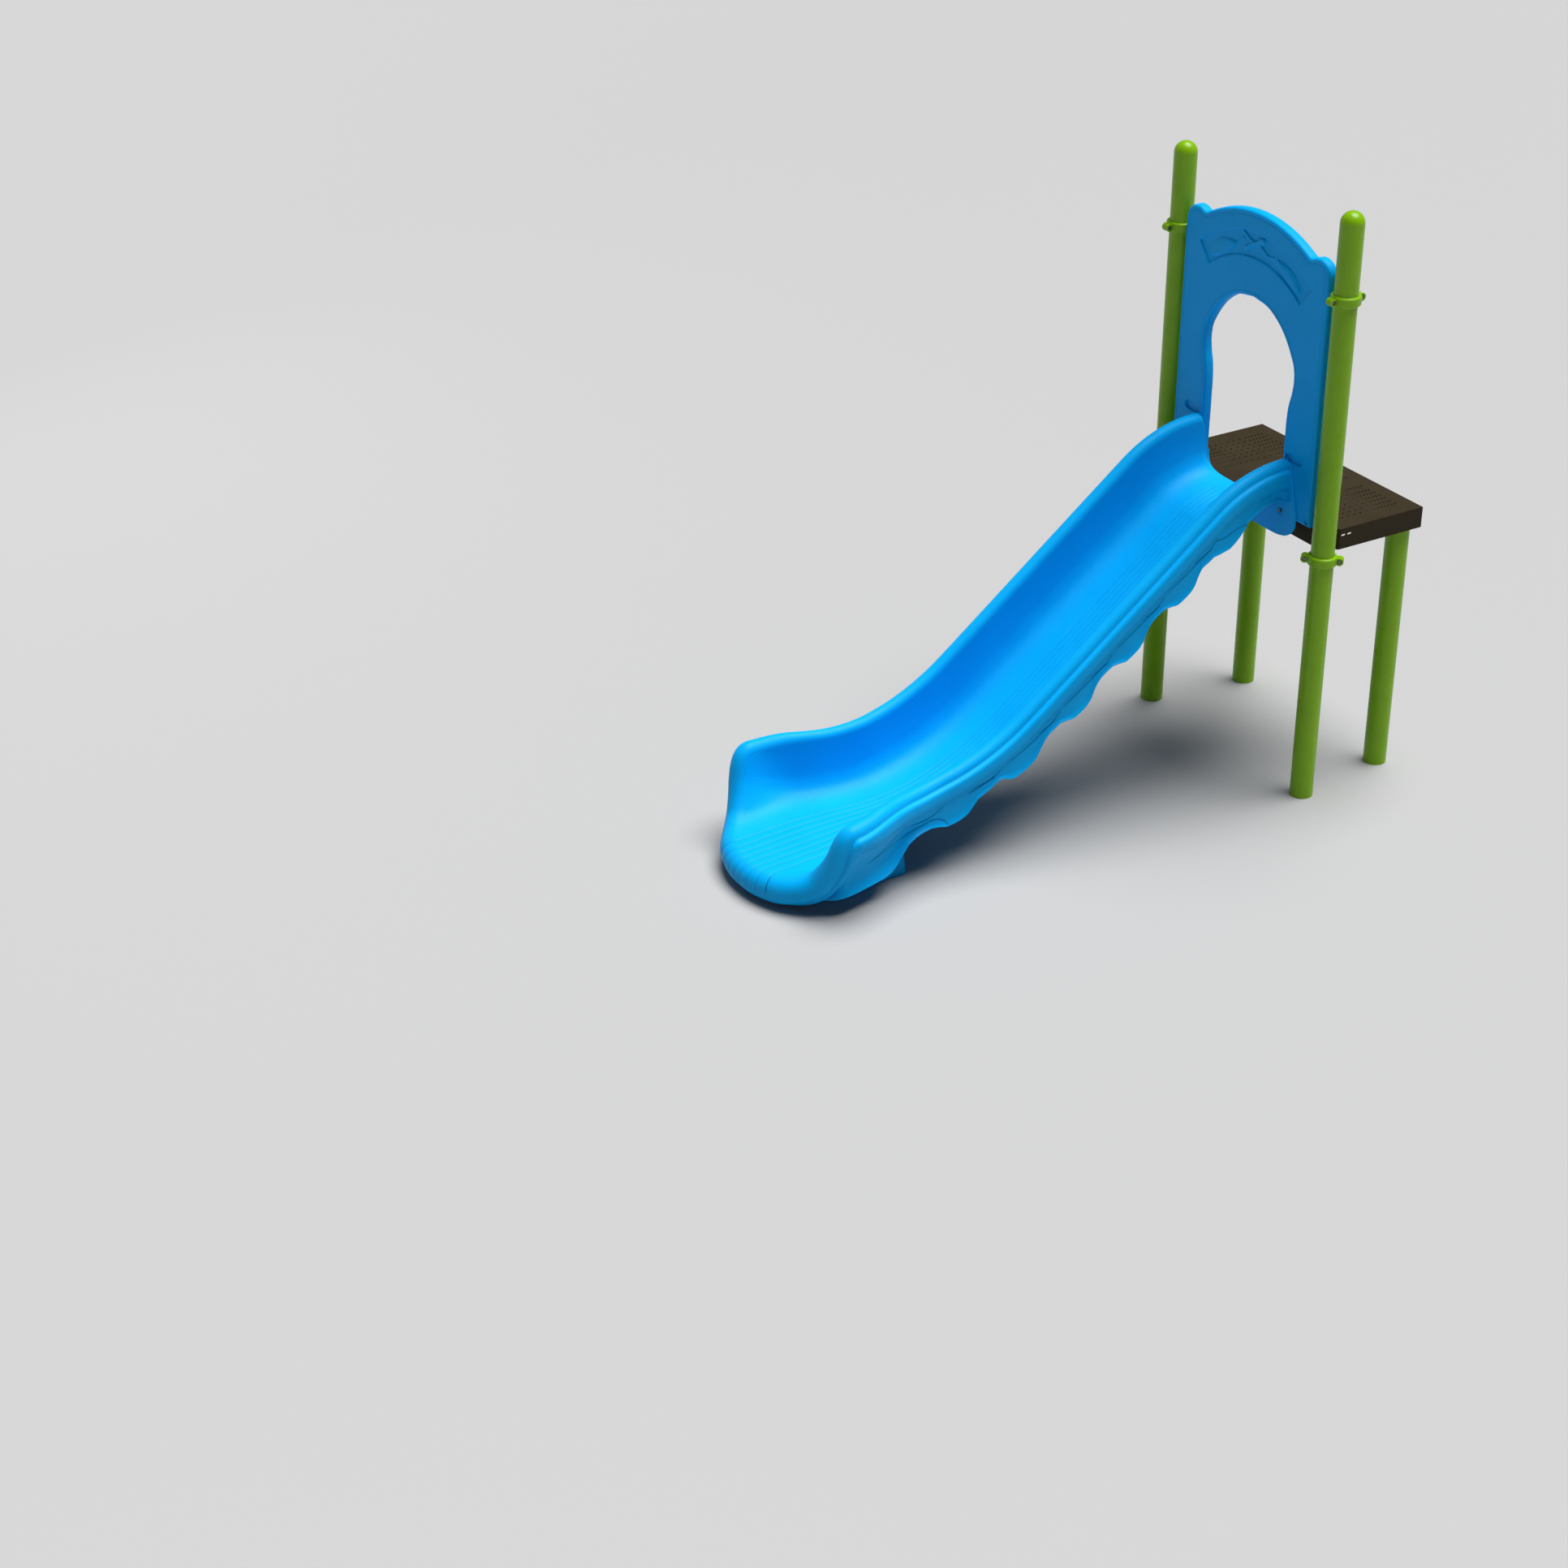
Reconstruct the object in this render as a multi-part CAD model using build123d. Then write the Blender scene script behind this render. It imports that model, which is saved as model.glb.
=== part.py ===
from build123d import *
import math
import os

# Frame: millimetres, +Z up, +Y towards the back of the deck, +X to the right when facing the entry panel.
# The origin is on the ground, in the middle of the whole unit. Every feature below is laid out from the
# front posts' centre line (y = 0) and the deck's top (z = 0); place() moves it into the frame at export.

# ---------------------------------------------------------------- driving dimensions
POST_PITCH = 950.0           # front post centre to centre
POST_OD = 88.9               # 3.5 in tube
POST_WALL = 3.0
TUBE_TOP = 1184.0            # above the deck top, where the dome starts
DECK_TOP = 1090.0            # deck top above the ground under the exit
DECK_HALF_WIDTH = 476.0
DECK_FRONT = 14.0
DECK_BACK = 472.0
DECK_DROP = 82.0             # depth of the folded flanges
SHEET = 3.0
CORNER_CUT = 61.0            # 45 degree cut beside each front post
LEG_X, LEG_Y = 410.0, 420.0  # rear leg centres

PANEL_HALF_WIDTH = 415.0
PANEL_FRONT, PANEL_BACK = -28.3, 13.5
PANEL_BOTTOM = 2.0
PANEL_SKIN = 6.0
PANEL_BEVEL = 5.0
ARCH_R, ARCH_Z = 586.0, 504.0
LOBE_R, LOBE_X, LOBE_Z = 65.0, 350.0, 957.0
FAN_Z, FAN_R_IN, FAN_R_OUT, FAN_HALF_ANGLE = 504.0, 408.0, 508.0, 40.0
FAN_DEPTH = 5.0
DRAIN_R, DRAIN_X, DRAIN_Y = 5.0, 350.0, -5.0   # drain holes in the feet of the hollow panel

CLAMP_H = 38.0
CLAMP_R_IN, CLAMP_R_OUT = 44.75, 56.5
CLAMP_GAP = 1.0              # half the gap between the two halves
EAR_OFFSET, EAR_R, EAR_T = 64.0, 15.0, 14.0
PANEL_CLAMP_Z = 905.0
DECK_CLAMP_Z = -102.5

SLIDE_WALL = 8.0
SLOPE = math.radians(37.8)
RUNOUT_SLOPE = 0.045
RAIL_H = 226.0               # rail top above the bedway floor
# The bedway widens towards the exit: (start y, end y, added half width)
FLARE_STEPS = [(-1450, -1950, 52), (-1660, -1990, 47)]
CREST_Y, CREST_R = -143.0, 330.0
EXIT_Y, EXIT_Z = -2170.0, -960.0
RUNOUT_R = 1100.0
LIP_R, RIM_R = 60.0, 36.0
SKIRT_TIP, SKIRT_HOLLOW = 186.0, 143.0   # below the rail top, square to the slope
WAVE_PITCH = 284.0           # along the slope
FIRST_HOLLOW, LAST_SCALLOP = -267.0, -1330.0
SKIRT_X0, SKIRT_X1 = 262.0, 420.0        # zone across the slide in which the scallops are cut
FOOT_HALF_WIDTH = 205.0
FOOT_Y0, FOOT_Y1 = -2060.0, -1640.0

ANGLE_LEG, ANGLE_T, ANGLE_LEN = 50.0, 5.0, 300.0
ANCHOR_Y = (FOOT_Y0 + FOOT_Y1) / 2
ANCHOR_BOLT_YS = (ANCHOR_Y - 100.0, ANCHOR_Y + 100.0)
ANCHOR_BOLT_Z = -DECK_TOP + 30.0

M8, M10 = 4.0, 5.0           # shank radii
FRAME_Y = -(EXIT_Y - LIP_R + DECK_BACK) / 2

os.makedirs("parts", exist_ok=True)


# ---------------------------------------------------------------- helpers
def place(shape):
    return Pos(0, FRAME_Y, DECK_TOP) * shape


def save(name, shape):
    export_step(place(shape), f"parts/{name}.step")


def group(solids):
    return Compound(children=list(solids))


def rod(radius, p0, p1):
    """Cylinder between two points."""
    a, b = Vector(*p0), Vector(*p1)
    plane = Plane(origin=a, z_dir=(b - a).normalized())
    return extrude(plane * Circle(radius), (b - a).length)


def side_profile(points, x0, x1):
    """Polygon given as (y, z), extruded from x0 to x1."""
    face = Plane.YZ.offset(x0) * make_face(Polyline(*points, close=True))
    return extrude(face, x1 - x0)


def both(shape):
    return [shape, mirror(shape, Plane.YZ)]


# ---------------------------------------------------------------- posts, caps and legs
def post(x):
    outer = rod(POST_OD / 2, (x, 0, -DECK_TOP), (x, 0, TUBE_TOP))
    return outer - rod(POST_OD / 2 - POST_WALL, (x, 0, -DECK_TOP), (x, 0, TUBE_TOP))


def post_cap(x):
    r = POST_OD / 2
    plug = r - POST_WALL - 0.25
    ball = Pos(x, 0, TUBE_TOP) * (Sphere(r) - Sphere(r - 4))
    dome = ball & (Pos(x, 0, TUBE_TOP + r / 2) * Box(3 * r, 3 * r, r))
    collar = rod(plug, (x, 0, TUBE_TOP - 30), (x, 0, TUBE_TOP + 4))
    return dome + (collar - rod(plug - 4, (x, 0, TUBE_TOP - 31), (x, 0, TUBE_TOP + 5)))


LEG_PLATE_T = 6.0
STIFFENER_H = 40.0
LEG_TOP = -SHEET - STIFFENER_H - LEG_PLATE_T
PLATE_BOLT_X = 343.0
PLATE_BOLT_YS = (405.0, 435.0)


def rear_leg(x):
    outer = rod(POST_OD / 2, (x, LEG_Y, -DECK_TOP), (x, LEG_Y, LEG_TOP))
    return outer - rod(POST_OD / 2 - POST_WALL, (x, LEG_Y, -DECK_TOP), (x, LEG_Y, LEG_TOP))


def leg_plate():
    plate = Pos((322 + 468) / 2, LEG_Y, LEG_TOP + LEG_PLATE_T / 2) * Box(146, 92, LEG_PLATE_T)
    for y in PLATE_BOLT_YS:
        plate -= rod(M8 + 0.3, (PLATE_BOLT_X, y, LEG_TOP - 1), (PLATE_BOLT_X, y, LEG_TOP + LEG_PLATE_T + 1))
    return plate


for side, sign in (("left", -1), ("right", 1)):
    save(f"front_post_{side}", post(sign * POST_PITCH / 2))
    save(f"post_cap_{side}", post_cap(sign * POST_PITCH / 2))
    save(f"rear_leg_{side}", rear_leg(sign * LEG_X))
save("rear_leg_plates", group(both(leg_plate())))


# ---------------------------------------------------------------- deck
def deck_outline(inset):
    w, f, b = DECK_HALF_WIDTH - inset, DECK_FRONT + inset, DECK_BACK - inset
    c = CORNER_CUT - inset * (2 - math.sqrt(2))
    pts = [(-w, b), (-w, f + c), (-w + c, f), (w - c, f), (w, f + c), (w, b)]
    return make_face(Polyline(*pts, close=True))


HOLE_R = 4.0
ROW_XS = (396.5, 367.0, 337.0, 307.5, 277.5, 248.0, 205.0)
DENSE_PITCH, SPARSE_PITCH = 16.0, 29.4
BACK_HOLE_Y, MID_HOLE_Y, FRONT_HOLE_Y = 404.0, 295.5, 150.0
SINGLE_HOLES = ((115.0, 404.0), (115.0, 70.0))
SLIDE_BOLT_XS = (90.0, 205.0)
SLIDE_BOLT_Z = -41.0
TAB_BOLT_ZS = (-32.0, -62.0)


def deck_platform():
    body = Pos(0, 0, -DECK_DROP) * extrude(deck_outline(0), DECK_DROP)
    body -= Pos(0, 0, -DECK_DROP) * extrude(deck_outline(SHEET), DECK_DROP - SHEET)
    row = [BACK_HOLE_Y - i * DENSE_PITCH for i in range(6)]
    row += [MID_HOLE_Y - i * SPARSE_PITCH for i in range(5)]
    row += [FRONT_HOLE_Y - i * DENSE_PITCH for i in range(6)]
    spots = [(x, y) for x in ROW_XS for y in row] + list(SINGLE_HOLES)
    spots += [(-x, y) for x, y in spots]
    holes = Sketch() + [Pos(x, y) * Circle(HOLE_R) for x, y in spots]
    body -= Pos(0, 0, -SHEET - 1) * extrude(holes, SHEET + 2)
    for y in (92.0, 121.0):
        slot = Plane.YZ.offset(-DECK_HALF_WIDTH - 1) * Pos(y, -27) * SlotOverall(20, 7)
        body -= extrude(slot, 2 * DECK_HALF_WIDTH + 2)
    for x in SLIDE_BOLT_XS:
        for s in (-1, 1):
            body -= rod(M10 + 0.4, (s * x, DECK_FRONT - 1, SLIDE_BOLT_Z), (s * x, DECK_FRONT + 6, SLIDE_BOLT_Z))
    for z in TAB_BOLT_ZS:
        for s in (-1, 1):
            body -= post_rod(s, M8 + 0.3, -50.0, -60.0, z)
    return body


def post_rod(s, radius, d0, d1, z, along=0.0):
    """Rod square to the deck's corner face: d is the distance from the post axis, + away from the deck."""
    k = 1 / math.sqrt(2)
    ax, ay = s * POST_PITCH / 2 + s * along * k, along * k
    return rod(radius, (ax + s * d0 * k, ay - d0 * k, z), (ax + s * d1 * k, ay - d1 * k, z))


def stiffener(y):
    half = DECK_HALF_WIDTH - SHEET - 0.5
    if y < DECK_BACK / 2:
        half -= CORNER_CUT
    web = Pos(0, y, -SHEET - STIFFENER_H + SHEET / 2) * Box(2 * half, 60, SHEET)
    for dy in (-28.5, 28.5):
        web += Pos(0, y + dy, -SHEET - STIFFENER_H / 2) * Box(2 * half, 3, STIFFENER_H)
    return web


rear_stiffener = stiffener(LEG_Y)
for x in (-PLATE_BOLT_X, PLATE_BOLT_X):
    for y in PLATE_BOLT_YS:
        rear_stiffener -= rod(M8 + 0.3, (x, y, -SHEET - STIFFENER_H - 1), (x, y, -STIFFENER_H + 1))

save("deck_platform", deck_platform())
save("deck_stiffeners", group([stiffener(237.0), rear_stiffener]))

leg_bolts, leg_nuts = [], []
for y in PLATE_BOLT_YS:
    x, web_top = PLATE_BOLT_X, -STIFFENER_H
    bolt = rod(6.5, (x, y, LEG_TOP - 5), (x, y, LEG_TOP)) + rod(M8, (x, y, LEG_TOP - 5), (x, y, web_top + 9))
    nut = Pos(x, y, web_top) * extrude(RegularPolygon(6.5, 6, major_radius=False), 6.5)
    leg_bolts += both(bolt)
    leg_nuts += both(nut - rod(M8 + 0.02, (x, y, web_top - 1), (x, y, web_top + 8)))
save("leg_plate_bolts", group(leg_bolts))
save("leg_plate_nuts", group(leg_nuts))


# ---------------------------------------------------------------- post clamps
# Drawn on the Z axis with the split in the YZ plane; the outer half is on the +X side.
def clamp_half():
    mid, h = (CLAMP_R_IN + CLAMP_R_OUT) / 2, CLAMP_H
    band = Plane.XZ * Pos(mid, 0) * Rectangle(CLAMP_R_OUT - CLAMP_R_IN, h)
    outer_edges = [v for v in band.vertices() if v.X > mid]
    band = fillet(outer_edges, 9.0)
    half = revolve(band, Axis.Z, 360)
    half &= Pos(60 + CLAMP_GAP, 0, 0) * Box(120, 160, 60)
    for y in (-EAR_OFFSET, EAR_OFFSET):
        ear = rod(EAR_R, (CLAMP_GAP, y, 0), (CLAMP_GAP + EAR_T, y, 0))
        neck = Pos(CLAMP_GAP + EAR_T / 2, y * 0.86, 0) * Box(EAR_T, 14, 26)
        half += ear + neck
    half -= rod(CLAMP_R_IN, (0, 0, -30), (0, 0, 30))
    for y in (-EAR_OFFSET, EAR_OFFSET):
        half -= rod(M8 + 0.3, (0, y, 0), (EAR_T + 5, y, 0))
        half -= rod(9.0, (CLAMP_GAP + EAR_T - 5, y, 0), (EAR_T + 5, y, 0))
    return half


def turned(shape, s, angle, z):
    """Moves a clamp feature drawn for the right-hand post to the post on side s."""
    moved = Pos(POST_PITCH / 2, 0, z) * (Rot(0, 0, angle) * shape)
    return moved if s > 0 else mirror(moved, Plane.YZ)


TONGUE_T, TONGUE_H, TONGUE_X = 10.0, 34.0, 398.0
outer_half = clamp_half()
inner_half = mirror(outer_half, Plane.YZ)

tongue_len = 93.0 - 50.0
panel_inner = inner_half + Pos(-50 - tongue_len / 2, 0, 0) * Box(tongue_len, TONGUE_T, TONGUE_H)
tongue_hole_x = TONGUE_X - POST_PITCH / 2
panel_inner -= rod(M8 + 0.3, (tongue_hole_x, -20, 0), (tongue_hole_x, 20, 0))

tab_z0, tab_z1 = -12.0, -15.0 - DECK_CLAMP_Z
deck_inner = inner_half + Pos(-49, 0, (tab_z0 + tab_z1) / 2) * Box(6, 56, tab_z1 - tab_z0)
deck_inner -= rod(CLAMP_R_IN, (0, 0, -30), (0, 0, 120))
for z in TAB_BOLT_ZS:
    deck_inner -= rod(M8 + 0.02, (-40, 0, z - DECK_CLAMP_Z), (-56, 0, z - DECK_CLAMP_Z))

clamp_bolt = rod(6.7, (10, 0, 0), (14.5, 0, 0)) + rod(M8, (14.5, 0, 0), (-14.5, 0, 0))
clamp_nut = Plane.YZ.offset(-14.8) * RegularPolygon(6.5, 6, major_radius=False)
clamp_nut = extrude(clamp_nut, 4.6) - rod(M8 + 0.02, (-16, 0, 0), (-9, 0, 0))

clamp_bolts, clamp_nuts, tab_bolts = [], [], []
for side, s in (("left", -1), ("right", 1)):
    save(f"panel_clamp_outer_{side}", turned(outer_half, s, 0, PANEL_CLAMP_Z))
    save(f"panel_clamp_inner_{side}", turned(panel_inner, s, 0, PANEL_CLAMP_Z))
    save(f"deck_clamp_outer_{side}", turned(outer_half, s, -45, DECK_CLAMP_Z))
    save(f"deck_clamp_inner_{side}", turned(deck_inner, s, -45, DECK_CLAMP_Z))
    for angle, z in ((0, PANEL_CLAMP_Z), (-45, DECK_CLAMP_Z)):
        for y in (-EAR_OFFSET, EAR_OFFSET):
            clamp_bolts.append(turned(Pos(0, y, 0) * clamp_bolt, s, angle, z))
            clamp_nuts.append(turned(Pos(0, y, 0) * clamp_nut, s, angle, z))
    for z in TAB_BOLT_ZS:
        head = post_rod(s, 6.5, -55.4, -60.4, z)
        tab_bolts.append(head + post_rod(s, M8, -46.2, -60.4, z))
save("clamp_bolts", group(clamp_bolts))
save("clamp_nuts", group(clamp_nuts))
save("clamp_deck_bolts", group(tab_bolts))


# ---------------------------------------------------------------- entry panel
OPENING = [(0, 770), (92, 752), (172, 699), (228, 626), (256, 575), (261, 532), (256, 478), (243, 430),
           (237, 385), (237, 300), (239, 160), (239, -20)]


def panel_face(inset):
    w, r = PANEL_HALF_WIDTH - inset, LOBE_R - inset
    body = Pos(0, (LOBE_Z + PANEL_BOTTOM + inset) / 2) * Rectangle(2 * w, LOBE_Z - PANEL_BOTTOM - inset)
    arch = Pos(0, ARCH_Z) * Circle(ARCH_R - inset)
    body += arch & (Pos(0, 950) * Rectangle(2 * LOBE_X - 20, 400))
    body += [Pos(s * LOBE_X, LOBE_Z) * Circle(r) for s in (-1, 1)]
    pts = [(x + inset, z + (inset if x < 100 else 0)) for x, z in OPENING[1:]]
    pts = [(0, OPENING[0][1] + inset)] + pts
    right = Spline(*pts[:-1], tangents=[(1, 0), (0, -1)])
    low = pts[-2][0]
    low_z = pts[-2][1]
    lines = [right, mirror(right, Plane.YZ), Polyline((low, low_z), (low, -50), (-low, -50), (-low, low_z))]
    hole = make_face(Wire(sum((list(c.edges()) for c in lines), [])))
    return body - hole


def fan_face(grow):
    ring = Circle(FAN_R_OUT + grow) - Circle(FAN_R_IN - grow)
    half = math.radians(FAN_HALF_ANGLE)
    reach = 900.0
    wedge = Polyline((0, 0), (-reach * math.sin(half), reach * math.cos(half)), (0, 1.4 * reach),
                     (reach * math.sin(half), reach * math.cos(half)), close=True)
    return Pos(0, FAN_Z) * (ring & make_face(wedge))


TONGUE_Z = PANEL_CLAMP_Z
LEG_BOLT_X, LEG_BOLT_Z = 262.0, 20.0
INSERT_R = 7.0


def on_front(face, y):
    """Face drawn as (x, z), set in the plane at depth y."""
    return Plane(origin=(0, y, 0), x_dir=(1, 0, 0), z_dir=(0, -1, 0)) * face


def entry_panel():
    depth = PANEL_BACK - PANEL_FRONT
    skin = extrude(on_front(panel_face(0), PANEL_BACK), depth - PANEL_BEVEL)
    skin += extrude(on_front(panel_face(PANEL_BEVEL / 2), PANEL_FRONT + PANEL_BEVEL), PANEL_BEVEL)
    core_depth = depth - 2 * PANEL_SKIN - FAN_DEPTH
    core = extrude(on_front(panel_face(PANEL_SKIN), PANEL_BACK - PANEL_SKIN), core_depth)
    for s in (-1, 1):
        core -= Pos(s * (TONGUE_X + 8), 0, TONGUE_Z) * Box(66, 60, 60)
        core -= Pos(s * LEG_BOLT_X, 0, LEG_BOLT_Z) * Box(60, 60, 60)
    body = skin - core
    body -= extrude(on_front(fan_face(0), PANEL_FRONT + FAN_DEPTH), 20)
    for s in (-1, 1):
        slot_w = PANEL_HALF_WIDTH - 380.0 + 5
        body -= Pos(s * (380 + slot_w / 2), 0, TONGUE_Z) * Box(slot_w, TONGUE_T + 1, TONGUE_H + 2)
        body -= rod(M8 + 0.3, (s * TONGUE_X, PANEL_BACK + 1, TONGUE_Z), (s * TONGUE_X, -8, TONGUE_Z))
        body -= rod(INSERT_R, (s * TONGUE_X, -5, TONGUE_Z), (s * TONGUE_X, -20, TONGUE_Z))
        body -= rod(INSERT_R, (s * LEG_BOLT_X, PANEL_FRONT - 1, LEG_BOLT_Z), (s * LEG_BOLT_X, -6, LEG_BOLT_Z))
        body -= rod(DRAIN_R, (s * DRAIN_X, DRAIN_Y, PANEL_BOTTOM - 1), (s * DRAIN_X, DRAIN_Y, PANEL_BOTTOM + 20))
    return body


save("entry_panel", entry_panel())

tongue_bolts, panel_inserts, slide_panel_bolts = [], [], []
for s in (-1, 1):
    x, z = s * TONGUE_X, TONGUE_Z
    head = rod(7.0, (x, PANEL_BACK, z), (x, PANEL_BACK + 4.5, z))
    tongue_bolts.append(head + rod(M8, (x, PANEL_BACK + 4.5, z), (x, -18, z)))
    sleeve = rod(INSERT_R, (x, -5.5, z), (x, -20, z)) - rod(M8 + 0.02, (x, -4, z), (x, -18.5, z))
    panel_inserts.append(sleeve)
    x, z = s * LEG_BOLT_X, LEG_BOLT_Z
    sleeve = rod(INSERT_R, (x, PANEL_FRONT, z), (x, -6, z)) - rod(M8 + 0.02, (x, PANEL_FRONT - 1, z), (x, -8, z))
    panel_inserts.append(sleeve)
    head = rod(8.0, (x, -42.0, z), (x, -36.6, z))
    slide_panel_bolts.append(head + rod(M8, (x, -42.0, z), (x, -9, z)))
save("panel_tongue_bolts", group(tongue_bolts))
save("panel_inserts", group(panel_inserts))
save("slide_panel_bolts", group(slide_panel_bolts))


# ---------------------------------------------------------------- slide chute
# Stations run down the bedway: floor point (y, z) and the direction of travel's slope.
def stations():
    down = math.tan(SLOPE)
    knee_y = (EXIT_Z + down * CREST_Y - RUNOUT_SLOPE * EXIT_Y) / (down - RUNOUT_SLOPE)
    knee_z = EXIT_Z + RUNOUT_SLOPE * (knee_y - EXIT_Y)
    low = math.atan(RUNOUT_SLOPE)
    t1 = CREST_R * math.tan(SLOPE / 2)
    t2 = RUNOUT_R * math.tan((SLOPE - low) / 2)
    out = [(PANEL_FRONT - 0.2, 0.0, 0.0)]
    for i in range(1, 5):
        a = SLOPE * i / 4
        out.append((CREST_Y + t1 - CREST_R * math.sin(a), -CREST_R * (1 - math.cos(a)), a))
    start = (knee_y + t2 * math.cos(SLOPE), knee_z + t2 * math.sin(SLOPE))
    cy, cz = start[0] - RUNOUT_R * math.sin(SLOPE), start[1] + RUNOUT_R * math.cos(SLOPE)
    last = out[-1]
    out.append(((last[0] + start[0]) / 2, (last[1] + start[1]) / 2, SLOPE))
    for i in range(6):
        a = SLOPE + (low - SLOPE) * i / 5
        out.append((cy + RUNOUT_R * math.sin(a), cz - RUNOUT_R * math.cos(a), a))
    for y in (-1830.0, -1960.0, -2070.0, EXIT_Y):
        out.append((y, EXIT_Z + RUNOUT_SLOPE * (y - EXIT_Y), low))
    return out


def rail_height(y):
    rise = min(max((-y - 1000.0) / 900.0, 0.0), 1.0)
    return RAIL_H + 20.0 * rise


def flare(y):
    widening = 0.0
    for start, end, size in FLARE_STEPS:
        t = min(max((start - y) / (start - end), 0.0), 1.0)
        widening += size * t * t * (3 - 2 * t)
    return widening


def section_points(h, w, skirt):
    """Right half of the top skin from the centre of the floor out to the skirt's edge, as (u, v)."""
    pts = [(0, 0), (70, 0), (130, 1), (172, 8), (204, 30), (222, 66), (230, 115), (233, 160)]
    pts += [(235, h - 34), (241, h - 14), (253, h - 3), (267, h), (283, h - 3), (297, h - 13), (304, h - 28)]
    pts += [(309, h - 45), (309, h - 72), (303, h - 90), (296, h - 104), (294, h - 130), (297, h - 160)]
    pts += [(302, h - skirt)]
    return [(u + w * min(u / 233.0, 1.0), v) for u, v in pts]


def offset_points(pts, t):
    out = []
    for i, (u, v) in enumerate(pts):
        a, b = pts[max(i - 1, 0)], pts[min(i + 1, len(pts) - 1)]
        du, dv = b[0] - a[0], b[1] - a[1]
        n = math.hypot(du, dv)
        out.append((u + t * dv / n, v - t * du / n))
    out[0] = (0, pts[0][1] - t)
    return out


def chute_section(y, z, a):
    h = rail_height(y)
    top = section_points(h, flare(y), SKIRT_TIP + 4)
    under = offset_points(top, SLIDE_WALL)
    plane = Plane(origin=(0, y, z), x_dir=(1, 0, 0), z_dir=(0, -math.cos(a), -math.sin(a)))

    def at(u, v):
        return plane.from_local_coords(Vector(u, v, 0))

    def skin(pts):
        full = [(-u, v) for u, v in reversed(pts[1:])] + pts
        return Spline(*[at(u, v) for u, v in full])

    upper, lower = skin(top), skin(under)
    ends = [Line(upper @ 1, lower @ 1), Line(lower @ 0, upper @ 0)]
    return make_face(Wire([upper.edge(), ends[0].edge(), lower.edge(), ends[1].edge()]))


def slope_frame(y, below):
    """Point a given distance under the rail top line of the straight run, measured square to it."""
    y0, z0 = CREST_Y, RAIL_H / math.cos(SLOPE)
    z = z0 - math.tan(SLOPE) * (y0 - y)
    return y + below * math.sin(SLOPE), z - below * math.cos(SLOPE)


def scallops():
    """Region below the wavy lower edge of the side skirts."""
    edge = []
    steps = 12
    step_y = WAVE_PITCH * math.cos(SLOPE)
    for k in range(7):
        for i in range(steps):
            p = i / steps
            rise = p / 0.57 if p < 0.57 else (1 - p) / 0.43
            depth = SKIRT_HOLLOW + (SKIRT_TIP - SKIRT_HOLLOW) * rise ** 1.4
            y = FIRST_HOLLOW - (k + p) * step_y
            if y > LAST_SCALLOP:
                edge.append(slope_frame(y, depth))
    drop = 400.0
    return edge + [(edge[-1][0] + 60, edge[-1][1] - drop), (edge[0][0] + 120, edge[0][1] - drop)]


# Centre line and radius of the rolled rim, from the middle of the lip round and up to the right-hand rail.
RIM = [(0, -2172, -1022, 59), (125, -2152, -1019, 59), (222, -2100, -1002, 55), (290, -2046, -946, 49),
       (335, -2016, -862, 44), (353, -2003, -805, 40.5), (361, -1988, -765, 38), (362, -1955, -745, 36),
       (360, -1900, -741, 35)]


def rim_tube(wall):
    """Tapering tube round the exit, one half lofted and mirrored."""
    rings = []
    across = Vector(1, -1, -1)
    for i, (x, y, z, r) in enumerate(RIM):
        ahead = RIM[min(i + 1, len(RIM) - 1)]
        behind = RIM[i - 1] if i else (-ahead[0], ahead[1], ahead[2])
        along = Vector(*(p - q for p, q in zip(ahead[:3], behind[:3]))).normalized()
        x_dir = across - along * across.dot(along)
        rings.append(Plane(origin=(x, y, z), x_dir=x_dir, z_dir=along) * Circle(r - wall))
    half = loft(rings, ruled=True)
    return half + mirror(half, Plane.YZ)


def inner_trough(top):
    pts = [(u, v) for u, v in section_points(RAIL_H, 0, SKIRT_TIP) if u < 234]
    return pts + [(233, top)]


def mirrored_polygon(right_pts):
    return make_face(Polyline(*[(-x, z) for x, z in reversed(right_pts) if x > 0], *right_pts, close=True))


APRON_FRONT = -36.3
APRON_BOTTOM = -78.0


def apron():
    """Entry flange: full-width plate with large rounded lower corners."""
    outline = [(0, APRON_BOTTOM), (262, APRON_BOTTOM), (300, -68), (330, -46), (344, -16), (341, 10),
               (309, 195), (298, 214), (283, 222), (0, 222)]
    face = mirrored_polygon(outline) - mirrored_polygon(inner_trough(300))
    plate = extrude(on_front(face, PANEL_FRONT - 0.2), PANEL_FRONT - 0.2 - APRON_FRONT)
    for s in (-1, 1):
        plate -= rod(M8 + 0.3, (s * LEG_BOLT_X, -40, LEG_BOLT_Z), (s * LEG_BOLT_X, 0, LEG_BOLT_Z))
    return plate


def throat():
    """Short U between the panel's legs that carries the bedway back to the deck's edge."""
    top = [(0.985 * u, v) for u, v in inner_trough(200)]
    low = offset_points(top, 5.0)
    half = top + list(reversed(low))
    right = make_face(Polyline(*half, close=True))
    face = right + mirror(right, Plane.YZ)
    return extrude(on_front(face, DECK_FRONT - 0.4), DECK_FRONT - 0.4 - APRON_FRONT)


def boss(x):
    body = rod(20.0, (x, -30, SLIDE_BOLT_Z), (x, DECK_FRONT - 0.4, SLIDE_BOLT_Z))
    return body - rod(INSERT_R, (x, -21, SLIDE_BOLT_Z), (x, DECK_FRONT, SLIDE_BOLT_Z))


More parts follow.
